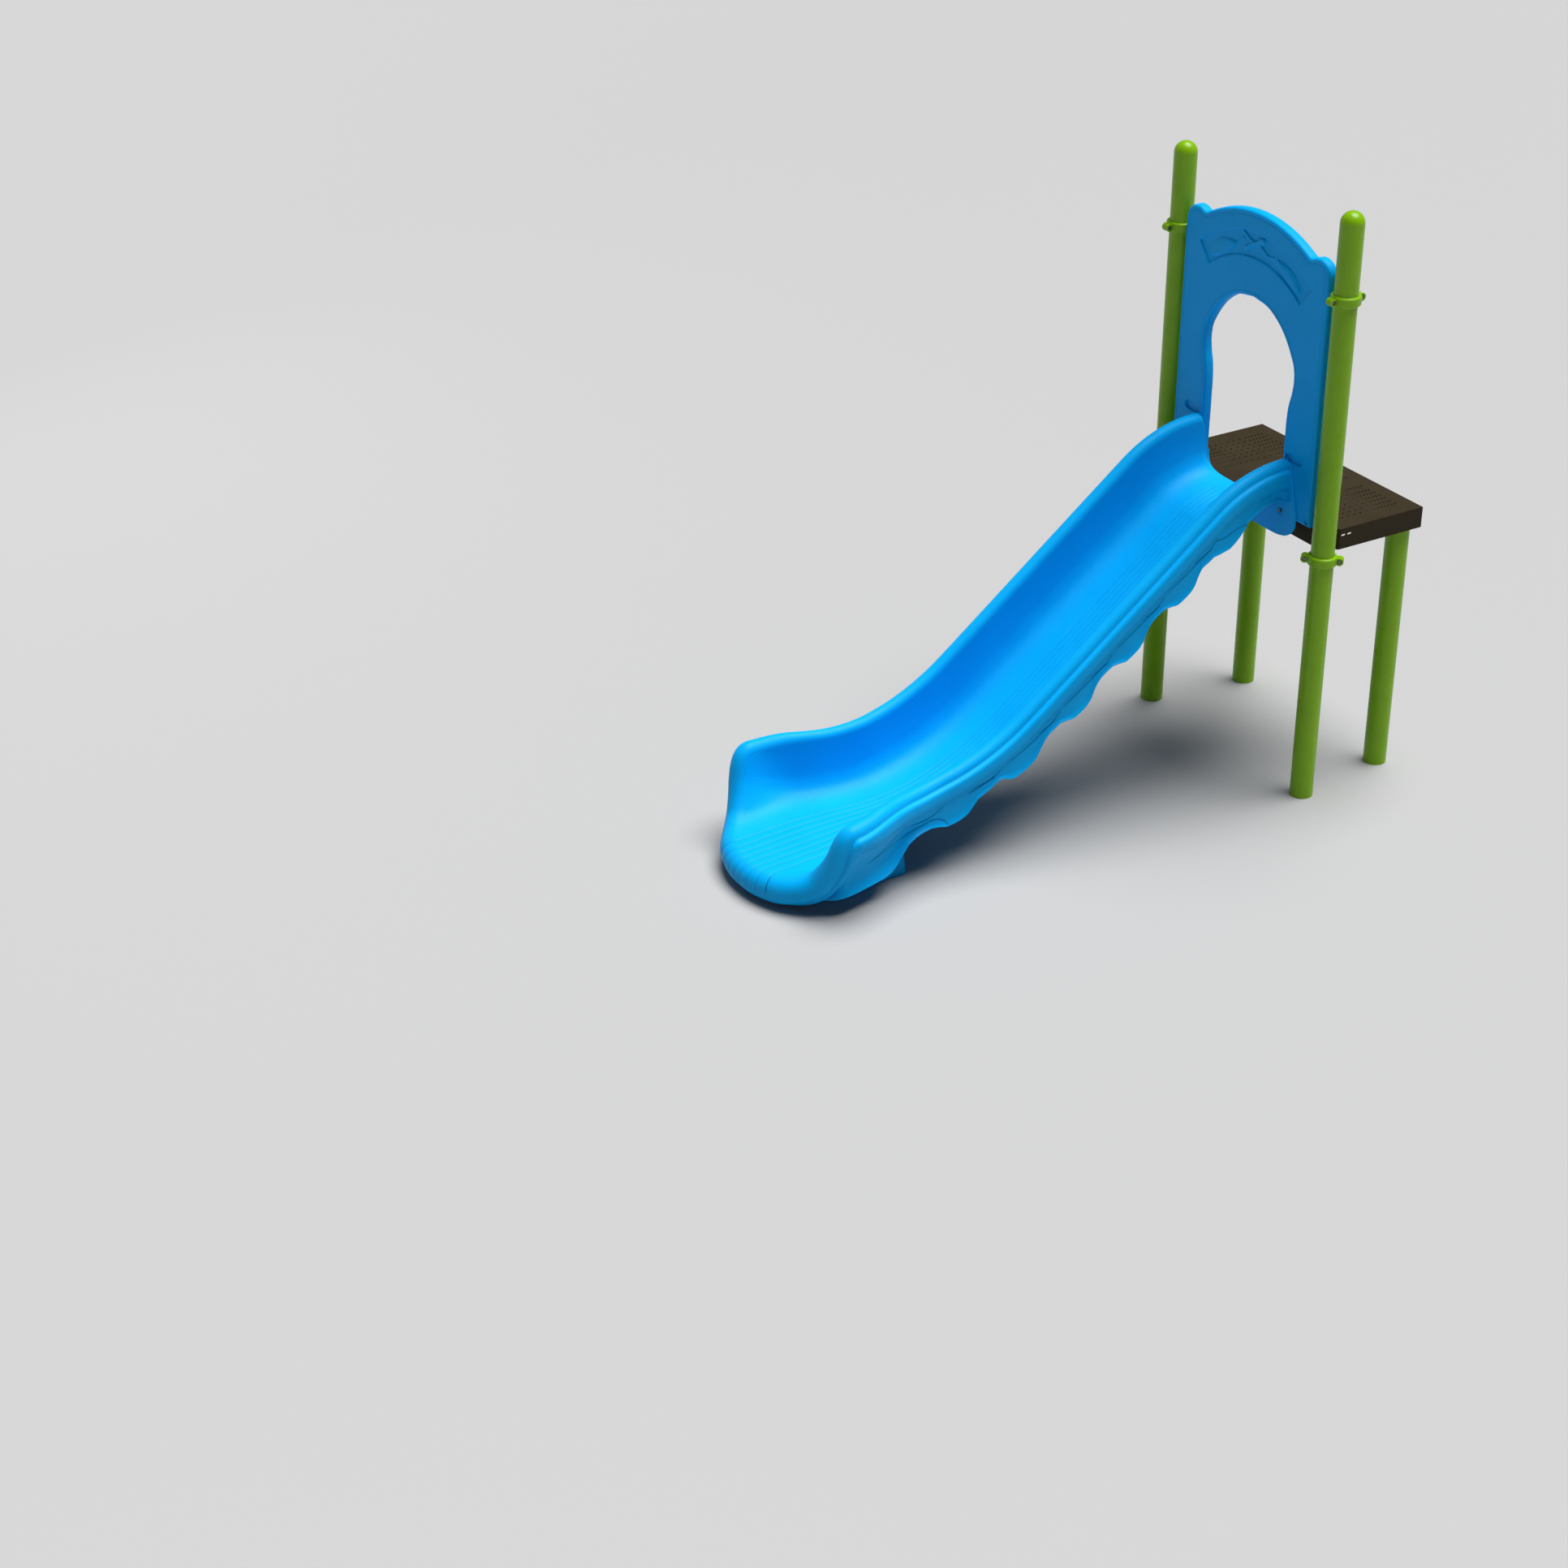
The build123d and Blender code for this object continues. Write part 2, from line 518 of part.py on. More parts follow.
def foot():
    """Moulded box foot under the exit, open below."""
    top = [(FOOT_Y0, -951), (FOOT_Y1, -932)]
    outer = side_profile([(FOOT_Y0 - 20, -DECK_TOP), *top, (FOOT_Y1 + 20, -DECK_TOP)],
                         -FOOT_HALF_WIDTH, FOOT_HALF_WIDTH)
    w = FOOT_HALF_WIDTH - SLIDE_WALL
    inner = side_profile([(FOOT_Y0 - 10, -DECK_TOP - 1), (FOOT_Y0 + 9, -900), (FOOT_Y1 - 9, -900),
                          (FOOT_Y1 + 10, -DECK_TOP - 1)], -w, w)
    return outer - inner


def cheek():
    """Side wall joining the trough to the ground-level hem beside the foot."""
    pts = [(-1690, -850), (-1700, -930), (-1745, -1005), (-1800, -1038), (-1985, -1046), (-2040, -1000),
           (-2035, -900), (-1990, -830)]
    return side_profile(pts, 318.0, 326.0)


def slide_chute():
    body = loft([chute_section(*s) for s in stations()])
    cutter = scallops()
    for x0, x1 in ((SKIRT_X0, SKIRT_X1), (-SKIRT_X1, -SKIRT_X0)):
        body -= side_profile(cutter, x0, x1)
    front = [(-1956, -600), (-1956, -700), (-1989, -762), (-2004, -805), (-2017, -862), (-2042, -928),
             (-2100, -951), (-2160, -952.5), (-2300, -953), (-2300, -600)]
    body -= side_profile(front, -450, 450)
    plan = [(x, y) for x, y, z, r in RIM if x <= 290] + [(440, -2030), (440, -2400), (0, -2400)]
    plan_face = make_face(Polyline(*plan, close=True))
    for face in (plan_face, mirror(plan_face, Plane.YZ)):
        body -= Pos(0, 0, -1100) * extrude(face, 500)
    body += rim_tube(0) - rim_tube(SLIDE_WALL)
    body += apron()
    body += throat()
    for x in SLIDE_BOLT_XS:
        for s in (-1, 1):
            body += boss(s * x)
    body += foot()
    for y in ANCHOR_BOLT_YS:
        reach = FOOT_HALF_WIDTH + 1
        body -= rod(M10 + 0.3, (-reach, y, ANCHOR_BOLT_Z), (reach, y, ANCHOR_BOLT_Z))
    body += both(cheek())
    return body


save("slide_chute", slide_chute())

flange_back = DECK_FRONT + SHEET
WASHER_T = 1.6
HEX_17 = RegularPolygon(8.0, 6, major_radius=False)
deck_bolts, washers, slide_inserts = [], [], []
for x in SLIDE_BOLT_XS:
    z, seat = SLIDE_BOLT_Z, flange_back + WASHER_T
    head = Plane(origin=(x, seat, z), x_dir=(1, 0, 0), z_dir=(0, 1, 0)) * HEX_17
    deck_bolts += both(extrude(head, 6.4) + rod(M10, (x, seat + 6.4, z), (x, -10, z)))
    washers += both(rod(10.5, (x, flange_back, z), (x, seat, z)) - rod(M10 + 0.2, (x, 10, z), (x, 30, z)))
    sleeve = rod(INSERT_R, (x, DECK_FRONT - 0.4, z), (x, -21, z))
    slide_inserts += both(sleeve - rod(M10 + 0.02, (x, DECK_FRONT, z), (x, -18, z)))
save("slide_deck_bolts", group(deck_bolts))
save("slide_deck_washers", group(washers))
save("slide_inserts", group(slide_inserts))


# ---------------------------------------------------------------- ground anchors inside the exit foot


def anchor_angle():
    wall = FOOT_HALF_WIDTH - SLIDE_WALL
    upright = Pos(wall - ANGLE_T / 2, ANCHOR_Y, -DECK_TOP + ANGLE_LEG / 2) * Box(ANGLE_T, ANGLE_LEN, ANGLE_LEG)
    base = Pos(wall - ANGLE_LEG / 2, ANCHOR_Y, -DECK_TOP + ANGLE_T / 2) * Box(ANGLE_LEG, ANGLE_LEN, ANGLE_T)
    body = upright + base
    for y in ANCHOR_BOLT_YS:
        body -= rod(M10 + 0.3, (wall - 10, y, ANCHOR_BOLT_Z), (wall + 5, y, ANCHOR_BOLT_Z))
        body -= rod(7.0, (wall - 30, y, -DECK_TOP - 1), (wall - 30, y, -DECK_TOP + 10))
    return body


anchor_bolts = []
for y in ANCHOR_BOLT_YS:
    x, z = FOOT_HALF_WIDTH, ANCHOR_BOLT_Z
    nut_face = Plane.YZ.offset(x - SLIDE_WALL - ANGLE_T - 8) * Pos(y, z) * HEX_17
    bolt = rod(10.0, (x, y, z), (x + 4, y, z)) + rod(M10, (x, y, z), (x - 24, y, z)) + extrude(nut_face, 8)
    anchor_bolts += both(bolt)
save("exit_anchor_angles", group(both(anchor_angle())))
save("exit_anchor_bolts", group(anchor_bolts))
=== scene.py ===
"""Wave slide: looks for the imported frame.

Lengths are in millimetres from the front posts' centre line and the deck top, until to_frame() turns them
into metres in the frame's own axes.
"""
import math

import bmesh
import bpy
import numpy as np
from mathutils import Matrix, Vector, geometry


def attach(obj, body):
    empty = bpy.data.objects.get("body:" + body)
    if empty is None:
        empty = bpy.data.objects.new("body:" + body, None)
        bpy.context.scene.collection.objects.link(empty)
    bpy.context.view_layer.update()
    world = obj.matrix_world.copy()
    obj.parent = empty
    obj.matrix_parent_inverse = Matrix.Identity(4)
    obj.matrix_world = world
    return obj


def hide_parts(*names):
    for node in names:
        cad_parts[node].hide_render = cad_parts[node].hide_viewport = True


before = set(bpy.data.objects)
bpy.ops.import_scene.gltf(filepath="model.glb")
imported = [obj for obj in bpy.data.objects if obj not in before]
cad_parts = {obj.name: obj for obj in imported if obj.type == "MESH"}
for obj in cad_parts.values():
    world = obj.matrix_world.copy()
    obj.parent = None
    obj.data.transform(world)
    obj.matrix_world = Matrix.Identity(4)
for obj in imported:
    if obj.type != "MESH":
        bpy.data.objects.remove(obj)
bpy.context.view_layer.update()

FRAME_Y, DECK_TOP = 879.0, 1090.0


def to_frame(pts):
    p = np.asarray(pts, float)
    return (p + np.array([0.0, FRAME_Y, DECK_TOP])) / 1000.0


def smooth(x, a, b):
    """0 at a, 1 at b, with a soft start and end."""
    t = np.clip((np.asarray(x, float) - a) / (b - a), 0, 1)
    return t * t * (3 - 2 * t)


def hermite(knots, values, t):
    """Smooth curve through values at knots, read at t."""
    slopes = np.gradient(values, knots, axis=0)
    i = np.clip(np.searchsorted(knots, t, side="right") - 1, 0, len(knots) - 2)
    h = (knots[i + 1] - knots[i])[:, None]
    s = ((t - knots[i]) / (knots[i + 1] - knots[i]))[:, None]
    return ((2 * s**3 - 3 * s**2 + 1) * values[i] + (s**3 - 2 * s**2 + s) * h * slopes[i]
            + (-2 * s**3 + 3 * s**2) * values[i + 1] + (s**3 - s**2) * h * slopes[i + 1])


def spline(points, n_or_t):
    """Smooth curve through points, by chord length: at parameters 0..1, or at n even ones."""
    p = np.asarray(points, float)
    d = np.r_[0, np.cumsum(np.linalg.norm(np.diff(p, axis=0), axis=1))]
    d /= d[-1]
    t = np.linspace(0, 1, n_or_t) if isinstance(n_or_t, int) else np.asarray(n_or_t, float)
    return hermite(d, p, t)


def unit(v):
    return v / np.linalg.norm(v, axis=-1, keepdims=True)


# ---------------------------------------------------------------- meshes
def mesh_object(name, verts_mm, faces, material):
    me = bpy.data.meshes.new(name)
    me.from_pydata([tuple(v) for v in to_frame(verts_mm)], [], [tuple(int(i) for i in f) for f in faces])
    me.validate()
    me.materials.append(material)
    ob = bpy.data.objects.new(name, me)
    bpy.context.scene.collection.objects.link(ob)
    me.polygons.foreach_set("use_smooth", [True] * len(me.polygons))
    return ob


def grid_faces(rows, cols, first=0, flip=False):
    out = []
    for i in range(rows - 1):
        for j in range(cols - 1):
            a = first + i * cols + j
            q = (a, a + 1, a + cols + 1, a + cols)
            out.append(q[::-1] if flip else q)
    return out


def weld(ob, dist=0.00005):
    bm = bmesh.new()
    bm.from_mesh(ob.data)
    bmesh.ops.remove_doubles(bm, verts=bm.verts, dist=dist)
    bmesh.ops.dissolve_degenerate(bm, edges=bm.edges, dist=0.00001)
    bmesh.ops.recalc_face_normals(bm, faces=bm.faces)
    bm.to_mesh(ob.data)
    bm.free()
    ob.data.polygons.foreach_set("use_smooth", [True] * len(ob.data.polygons))


def turn_outward(ob, score, axis):
    """Turn every face over if the face whose middle scores highest looks against the axis."""
    bm = bmesh.new()
    bm.from_mesh(ob.data)
    bm.faces.ensure_lookup_table()
    face = max(bm.faces, key=lambda f: score(f.calc_center_median()))
    if face.normal[axis] < 0:
        bmesh.ops.reverse_faces(bm, faces=bm.faces)
    bm.to_mesh(ob.data)
    bm.free()


# ---------------------------------------------------------------- materials
def new_material(name):
    m = bpy.data.materials.new(name)
    m.use_nodes = True
    nt = m.node_tree
    nt.nodes.clear()
    out = nt.nodes.new("ShaderNodeOutputMaterial")
    bsdf = nt.nodes.new("ShaderNodeBsdfPrincipled")
    nt.links.new(bsdf.outputs[0], out.inputs[0])
    return m, nt, bsdf


def node(nt, kind, **settings):
    n = nt.nodes.new("ShaderNode" + kind)
    for k, v in settings.items():
        if hasattr(n, k):
            setattr(n, k, v)
        else:
            n.inputs[k.replace("_", " ")].default_value = v
    return n


def ramp(nt, source, stops):
    r = nt.nodes.new("ShaderNodeValToRGB")
    el = r.color_ramp.elements
    while len(el) < len(stops):
        el.new(0.5)
    for e, (pos, col) in zip(el, stops):
        e.position = pos
        e.color = (*col, 1) if len(col) == 3 else col
    nt.links.new(source, r.inputs[0])
    return r.outputs[0]


def bump_chain(nt, bsdf, layers):
    """layers: (height socket, strength, distance in metres)."""
    last = None
    for height, strength, distance in layers:
        b = nt.nodes.new("ShaderNodeBump")
        b.inputs["Strength"].default_value = strength
        b.inputs["Distance"].default_value = distance
        nt.links.new(height, b.inputs["Height"])
        if last:
            nt.links.new(last, b.inputs["Normal"])
        last = b.outputs[0]
    nt.links.new(last, bsdf.inputs["Normal"])


def mix_color(nt, fac, a, b):
    m = nt.nodes.new("ShaderNodeMix")
    m.data_type = "RGBA"
    for sock, v in ((m.inputs[0], fac), (m.inputs[6], a), (m.inputs[7], b)):
        if isinstance(v, bpy.types.NodeSocket):
            nt.links.new(v, sock)
        elif isinstance(v, (int, float)):
            sock.default_value = v
        else:
            sock.default_value = (*v, 1)
    return m.outputs[2]


LINE_SHADE_SHARE, LINE_SHADE_DARK = 0.60, 0.30     # how far painted shade darkens the engraved lines and grooves, and how dark it gets


def moulded_plastic(name, dark, light, rough=(0.38, 0.50), scuff=0.16):
    """Rotationally moulded polyethylene: fine orange-peel, faint mottling, hairline scuffs."""
    m, nt, bsdf = new_material(name)
    tc = node(nt, "TexCoord")
    co = tc.outputs["Object"]
    big = node(nt, "TexNoise", Scale=5.0, Detail=4.0, Roughness=0.6)
    peel = node(nt, "TexNoise", Scale=900.0, Detail=3.0, Roughness=0.6)
    pores = node(nt, "TexVoronoi", Scale=650.0)
    wave = node(nt, "TexNoise", Scale=26.0, Detail=3.0, Roughness=0.5)
    squash = node(nt, "Mapping")
    squash.inputs["Scale"].default_value = (1.0, 0.045, 0.09)
    hair = node(nt, "TexNoise", Scale=420.0, Detail=5.0, Roughness=0.7)
    for n in (big, peel, pores, wave):
        nt.links.new(co, n.inputs["Vector"])
    nt.links.new(co, squash.inputs["Vector"])
    nt.links.new(squash.outputs[0], hair.inputs["Vector"])
    base = ramp(nt, big.outputs["Fac"], [(0.30, dark), (0.72, light)])
    hairs = ramp(nt, hair.outputs["Fac"], [(0.60, (0, 0, 0)), (0.70, (1, 1, 1))])
    pale = tuple(min(1.0, 0.86 * c + 0.06) for c in light)
    fac = nt.nodes.new("ShaderNodeMath")
    fac.operation = "MULTIPLY"
    nt.links.new(hairs, fac.inputs[0])
    fac.inputs[1].default_value = scuff
    color = mix_color(nt, fac.outputs[0], base, pale)
    # painted shade: a mesh attribute darkens the base colour along grooves and engraved lines, where shade
    # falls
    painted_shade = nt.nodes.new("ShaderNodeAttribute")
    painted_shade.attribute_name = "painted_line_shade"
    depth = nt.nodes.new("ShaderNodeMath")
    depth.operation = "MULTIPLY"
    depth.use_clamp = True
    nt.links.new(painted_shade.outputs["Fac"], depth.inputs[0])
    depth.inputs[1].default_value = LINE_SHADE_SHARE
    color = mix_color(nt, depth.outputs[0], color, tuple(LINE_SHADE_DARK * c for c in dark))
    nt.links.new(color, bsdf.inputs["Base Color"])
    r = ramp(nt, wave.outputs["Fac"], [(0.3, (rough[0],) * 3), (0.7, (rough[1],) * 3)])
    nt.links.new(r, bsdf.inputs["Roughness"])
    bsdf.inputs["Specular IOR Level"].default_value = 0.08
    bsdf.inputs["IOR"].default_value = 1.5
    bump_chain(nt, bsdf, [(wave.outputs["Fac"], 0.10, 0.0015), (peel.outputs["Fac"], 0.16, 0.0002),
                          (pores.outputs["Distance"], 0.08, 0.00015), (hairs, 0.05, 0.0001)])
    return m


def powder_coat(name, dark, light, rough=(0.24, 0.36), coat=0.22):
    """Powder coat on steel: orange peel, faint cloudiness, faint dusty streaks running downwards."""
    m, nt, bsdf = new_material(name)
    co = node(nt, "TexCoord").outputs["Object"]
    cloud = node(nt, "TexNoise", Scale=11.0, Detail=5.0, Roughness=0.6)
    peel = node(nt, "TexNoise", Scale=320.0, Detail=2.0, Roughness=0.5)
    grain = node(nt, "TexNoise", Scale=1600.0, Detail=2.0, Roughness=0.5)
    streak_map = node(nt, "Mapping")
    streak_map.inputs["Scale"].default_value = (1.0, 1.0, 0.06)
    streak = node(nt, "TexNoise", Scale=60.0, Detail=4.0, Roughness=0.6)
    for n in (cloud, peel, grain):
        nt.links.new(co, n.inputs["Vector"])
    nt.links.new(co, streak_map.inputs["Vector"])
    nt.links.new(streak_map.outputs[0], streak.inputs["Vector"])
    base = ramp(nt, cloud.outputs["Fac"], [(0.28, dark), (0.74, light)])
    streaks = ramp(nt, streak.outputs["Fac"], [(0.54, (0, 0, 0)), (0.82, (0.12, 0.12, 0.12))])
    dust = tuple(0.72 * c + 0.05 for c in light)
    nt.links.new(mix_color(nt, streaks, base, dust), bsdf.inputs["Base Color"])
    nt.links.new(ramp(nt, cloud.outputs["Fac"], [(0.3, (rough[0],) * 3), (0.7, (rough[1],) * 3)]),
                 bsdf.inputs["Roughness"])
    bsdf.inputs["Specular IOR Level"].default_value = 0.15
    bsdf.inputs["Coat Weight"].default_value = coat
    bsdf.inputs["Coat Roughness"].default_value = 0.16
    bump_chain(nt, bsdf, [(peel.outputs["Fac"], 0.22, 0.0004), (grain.outputs["Fac"], 0.10, 0.00008)])
    return m


def vinyl_coat(name, dark, light):
    """Thick dipped vinyl on punched sheet: soft, slightly pebbled, with paler scuffs."""
    m, nt, bsdf = new_material(name)
    co = node(nt, "TexCoord").outputs["Object"]
    cloud = node(nt, "TexNoise", Scale=8.0, Detail=6.0, Roughness=0.62)
    pebble = node(nt, "TexNoise", Scale=700.0, Detail=4.0, Roughness=0.65)
    scuff = node(nt, "TexNoise", Scale=55.0, Detail=6.0, Roughness=0.75)
    for n in (cloud, pebble, scuff):
        nt.links.new(co, n.inputs["Vector"])
    base = ramp(nt, cloud.outputs["Fac"], [(0.25, dark), (0.75, light)])
    marks = ramp(nt, scuff.outputs["Fac"], [(0.56, (0, 0, 0)), (0.78, (0.35, 0.35, 0.35))])
    dust = tuple(1.5 * c + 0.02 for c in light)
    nt.links.new(mix_color(nt, marks, base, dust), bsdf.inputs["Base Color"])
    nt.links.new(ramp(nt, cloud.outputs["Fac"], [(0.3, (0.50,) * 3), (0.7, (0.64,) * 3)]),
                 bsdf.inputs["Roughness"])
    bsdf.inputs["Specular IOR Level"].default_value = 0.1
    bump_chain(nt, bsdf, [(pebble.outputs["Fac"], 0.35, 0.0003), (scuff.outputs["Fac"], 0.08, 0.0006)])
    return m


def plated_steel(name, color=(0.20, 0.20, 0.195), rough=0.40, metallic=1.0):
    m, nt, bsdf = new_material(name)
    co = node(nt, "TexCoord").outputs["Object"]
    mottle = node(nt, "TexNoise", Scale=240.0, Detail=5.0, Roughness=0.7)
    brush = node(nt, "TexNoise", Scale=1500.0, Detail=3.0, Roughness=0.6)
    for n in (mottle, brush):
        nt.links.new(co, n.inputs["Vector"])
    dark = tuple(0.72 * c for c in color)
    nt.links.new(ramp(nt, mottle.outputs["Fac"], [(0.3, dark), (0.7, color)]), bsdf.inputs["Base Color"])
    nt.links.new(ramp(nt, mottle.outputs["Fac"], [(0.3, (rough,) * 3), (0.7, (rough + 0.18,) * 3)]),
                 bsdf.inputs["Roughness"])
    bsdf.inputs["Metallic"].default_value = metallic
    bump_chain(nt, bsdf, [(brush.outputs["Fac"], 0.2, 0.0001)])
    return m


SLIDE_BLUE = moulded_plastic("slide_blue", (0.000, 0.365, 0.830), (0.001, 0.395, 0.880))
PANEL_BLUE = moulded_plastic("panel_blue", (0.000, 0.345, 0.820), (0.001, 0.370, 0.860), scuff=0.12)
LIME = powder_coat("lime_green", (0.188, 0.400, 0.003), (0.212, 0.438, 0.005))
DECK_BROWN = vinyl_coat("deck_brown", (0.028, 0.0200, 0.0090), (0.034, 0.0246, 0.0115))
STEEL = plated_steel("plated_steel")
GALVANISED = plated_steel("galvanised", (0.46, 0.47, 0.48), 0.45, 0.9)
BRASS = plated_steel("brass_insert", (0.62, 0.45, 0.18), 0.3)

# ---------------------------------------------------------------- slide: the floor's centre line
SLOPE = math.radians(37.8)
LOW_FALL = 0.045            # fall of the run-out, per unit of level length
LOW = math.atan(LOW_FALL)
CREST_R, RUNOUT_R = 330.0, 1100.0
CREST_Y, EXIT_Y, EXIT_Z = -143.0, -2170.0, -960.0
DECK_EDGE = 13.2
PANEL_FACE = -28.6


def floor_segments():
    down, low = math.tan(SLOPE), math.tan(LOW)
    knee_y = (EXIT_Z + down * CREST_Y - low * EXIT_Y) / (down - low)
    t1 = CREST_R * math.tan(SLOPE / 2)
    t2 = RUNOUT_R * math.tan((SLOPE - LOW) / 2)
    crest_end = CREST_Y + t1 - CREST_R * math.sin(SLOPE)
    run_start = knee_y + t2 * math.cos(SLOPE)
    run_end = knee_y - t2 * math.cos(LOW)
    return [(DECK_EDGE - (CREST_Y + t1), 0.0), (CREST_R * SLOPE, 1 / CREST_R),
            ((crest_end - run_start) / math.cos(SLOPE), 0.0), (RUNOUT_R * (SLOPE - LOW), -1 / RUNOUT_R),
            ((run_end - EXIT_Y) / math.cos(LOW) + 120.0, 0.0)]


def floor_at(lengths):
    """(y, z, slope) of the floor's centre line at arc lengths from the deck's edge."""
    lengths = np.asarray(lengths, float)
    y, z, a = np.full_like(lengths, DECK_EDGE), np.zeros_like(lengths), np.zeros_like(lengths)
    y0, z0, a0, l0 = DECK_EDGE, 0.0, 0.0, 0.0
    for size, curve in floor_segments():
        m = lengths >= l0
        s = np.minimum(lengths[m] - l0, size)
        if curve:
            ang = a0 + s * curve
            y[m] = y0 - (np.sin(ang) - math.sin(a0)) / curve
            z[m] = z0 - (math.cos(a0) - np.cos(ang)) / curve
            a[m] = ang
            e = a0 + size * curve
            y0, z0 = y0 - (math.sin(e) - math.sin(a0)) / curve, z0 - (math.cos(a0) - math.cos(e)) / curve
            a0 = e
        else:
            y[m], z[m], a[m] = y0 - s * math.cos(a0), z0 - s * math.sin(a0), a0
            y0, z0 = y0 - size * math.cos(a0), z0 - size * math.sin(a0)
        l0 += size
    return y, z, a


TOTAL = sum(s for s, _ in floor_segments())
TABLE_LENGTHS = np.linspace(0, TOTAL, 6001)
TABLE_YS = floor_at(TABLE_LENGTHS)[0]


def length_at_y(y):
    """Arc length of the floor's centre line at y, read from a fine table."""
    return np.interp(-np.asarray(y, float), -TABLE_YS, TABLE_LENGTHS)


# ---------------------------------------------------------------- slide: sections
RAIL_ROLL = 28.5            # radius of the rail's rolled top
DEPTH = 226.0               # depth of the trough on the slope
SIDE_X = 233.0              # half width inside the trough
WALL_FOOT = 110.0           # height where the trough's wall becomes straight
FIRST_FLARE, LAST_FLARE = 52.0, 47.0
EXIT_DEEPER = 20.0
TROUGH = [(0, 0), (60, 0), (110, 0.4), (140, 2.5), (172, 10), (204, 31), (222, 66), (229.5, WALL_FOOT),
          (232.5, 155), (233.5, 197.5)]
GROOVE_PITCH, GROOVE_HALF, GROOVE_DEPTH = 23.5, 1.5, 2.565
GROOVE_XS = [GROOVE_PITCH * (k + 0.5) for k in range(4)]
GROOVE_EDGE = 3.4           # half the width over which a groove bends the floor
GROOVE_END = GROOVE_XS[-1] + GROOVE_EDGE


def depth_at(y):
    """Depth of the trough at y."""
    return DEPTH + EXIT_DEEPER * np.clip((-np.asarray(y, float) - 1000.0) / 900.0, 0, 1)


def first_flare(y):
    """The gentler part of the flare, which begins further up."""
    return FIRST_FLARE * smooth(-y, 1450.0, 1950.0)


def flare_at(y):
    """How far each side has moved outward at y."""
    y = np.asarray(y, float)
    return first_flare(y) + LAST_FLARE * smooth(-y, 1660.0, 1990.0)


def fan_at(y):
    """Share by which the floor's grooves spread apart at y."""
    return 0.83 * smooth(-np.asarray(y, float), 1400.0, 2150.0)


def trough_lines():
    """Parameters of the lengthwise lines of half the trough: position along the section, 0 at the centre."""
    xs = {0.0}
    for g in GROOVE_XS:
        xs |= {g - GROOVE_EDGE, g - GROOVE_EDGE / 2, g, g + GROOVE_EDGE / 2, g + GROOVE_EDGE}
    xs |= {94.0, 102.0, 110.0, 120.0, 130.0}
    d = np.array(TROUGH, float)
    total = np.sum(np.linalg.norm(np.diff(d, axis=0), axis=1))
    ts = [x / total for x in sorted(xs)]
    ts += list(np.linspace(ts[-1], 1.0, 30)[1:])
    return np.array(ts)


LINES = trough_lines()
SECTION = spline(TROUGH, LINES)
GROOVE = GROOVE_DEPTH * np.exp(-(np.subtract.outer(SECTION[:, 0], GROOVE_XS) / GROOVE_HALF) ** 2).max(axis=1)

# Rim of the exit from the rail's shoulder round to the lip's middle, against the trough's section line:
# section parameter, tube centre (x, y, z), tube radius, tilt of the surface where the roll starts.
RIM_TABLE = np.array([
    (1.00, 362, -1948, -744, 36.5, 90), (0.93, 363, -1972, -749, 37.2, 90),
    (0.85, 360, -1991, -768, 38.5, 90), (0.77, 354, -2003, -799, 40.5, 89),
    (0.69, 345, -2011, -838, 43, 86), (0.60, 329, -2020, -880, 45.5, 80),
    (0.52, 308, -2033, -921, 48, 69), (0.44, 281, -2052, -962, 51, 52),
    (0.36, 240, -2086, -994, 54, 31), (0.27, 178, -2130, -1014, 57, 12),
    (0.15, 92, -2162, -1022, 59, 3), (0.0, 0, -2172, -1024, 59, 0)])


def rim_front(ts):
    """Tube centre, radius and start direction at section parameters ts, for the right side."""
    k = RIM_TABLE[::-1]
    both = np.vstack([k[2:0:-1] * [-1, -1, 1, 1, 1, -1], k])
    out = hermite(both[:, 0], both[:, 1:], ts)
    return out[:, :3], out[:, 3], np.radians(out[:, 4])


ROW = 5.0                   # spacing of the skin's rows along the slope
FREE_Y = -1790.0            # past here the trough's rows bend to follow the rim
BENT_ROWS = 34
SPREAD_END = 130.0          # the floor's spread fades out between the last groove and here
THROAT_SINK = 0.62          # share of its height that the wall loses behind the panel


def trough_at(lengths):
    """Trough points at floor arc lengths, given as (rows, lines)."""
    y, z, a = (q.reshape(lengths.shape) for q in floor_at(lengths.ravel()))
    across, height = SECTION[:, 0][None, :], SECTION[:, 1][None, :]
    w, fan = flare_at(y), fan_at(y)
    spread = np.interp(across, [0, GROOVE_END, SPREAD_END], [0, 1, 0])
    flared = across + w * np.minimum(across / SIDE_X, 1.0) + spread * GROOVE_END * (fan - w / SIDE_X)
    x = np.where(across <= GROOVE_END + 0.1, across * (1 + fan), flared)
    v = height + np.clip((height - WALL_FOOT) / 87.5, 0, 1) * (depth_at(y) - DEPTH)
    v = v * (1 - THROAT_SINK * smooth(y, PANEL_FACE, DECK_EDGE))
    v = v - GROOVE[None, :] * smooth(-y, 55, 115)
    return np.stack([x, y - v * np.sin(a), z + v * np.cos(a)], -1)


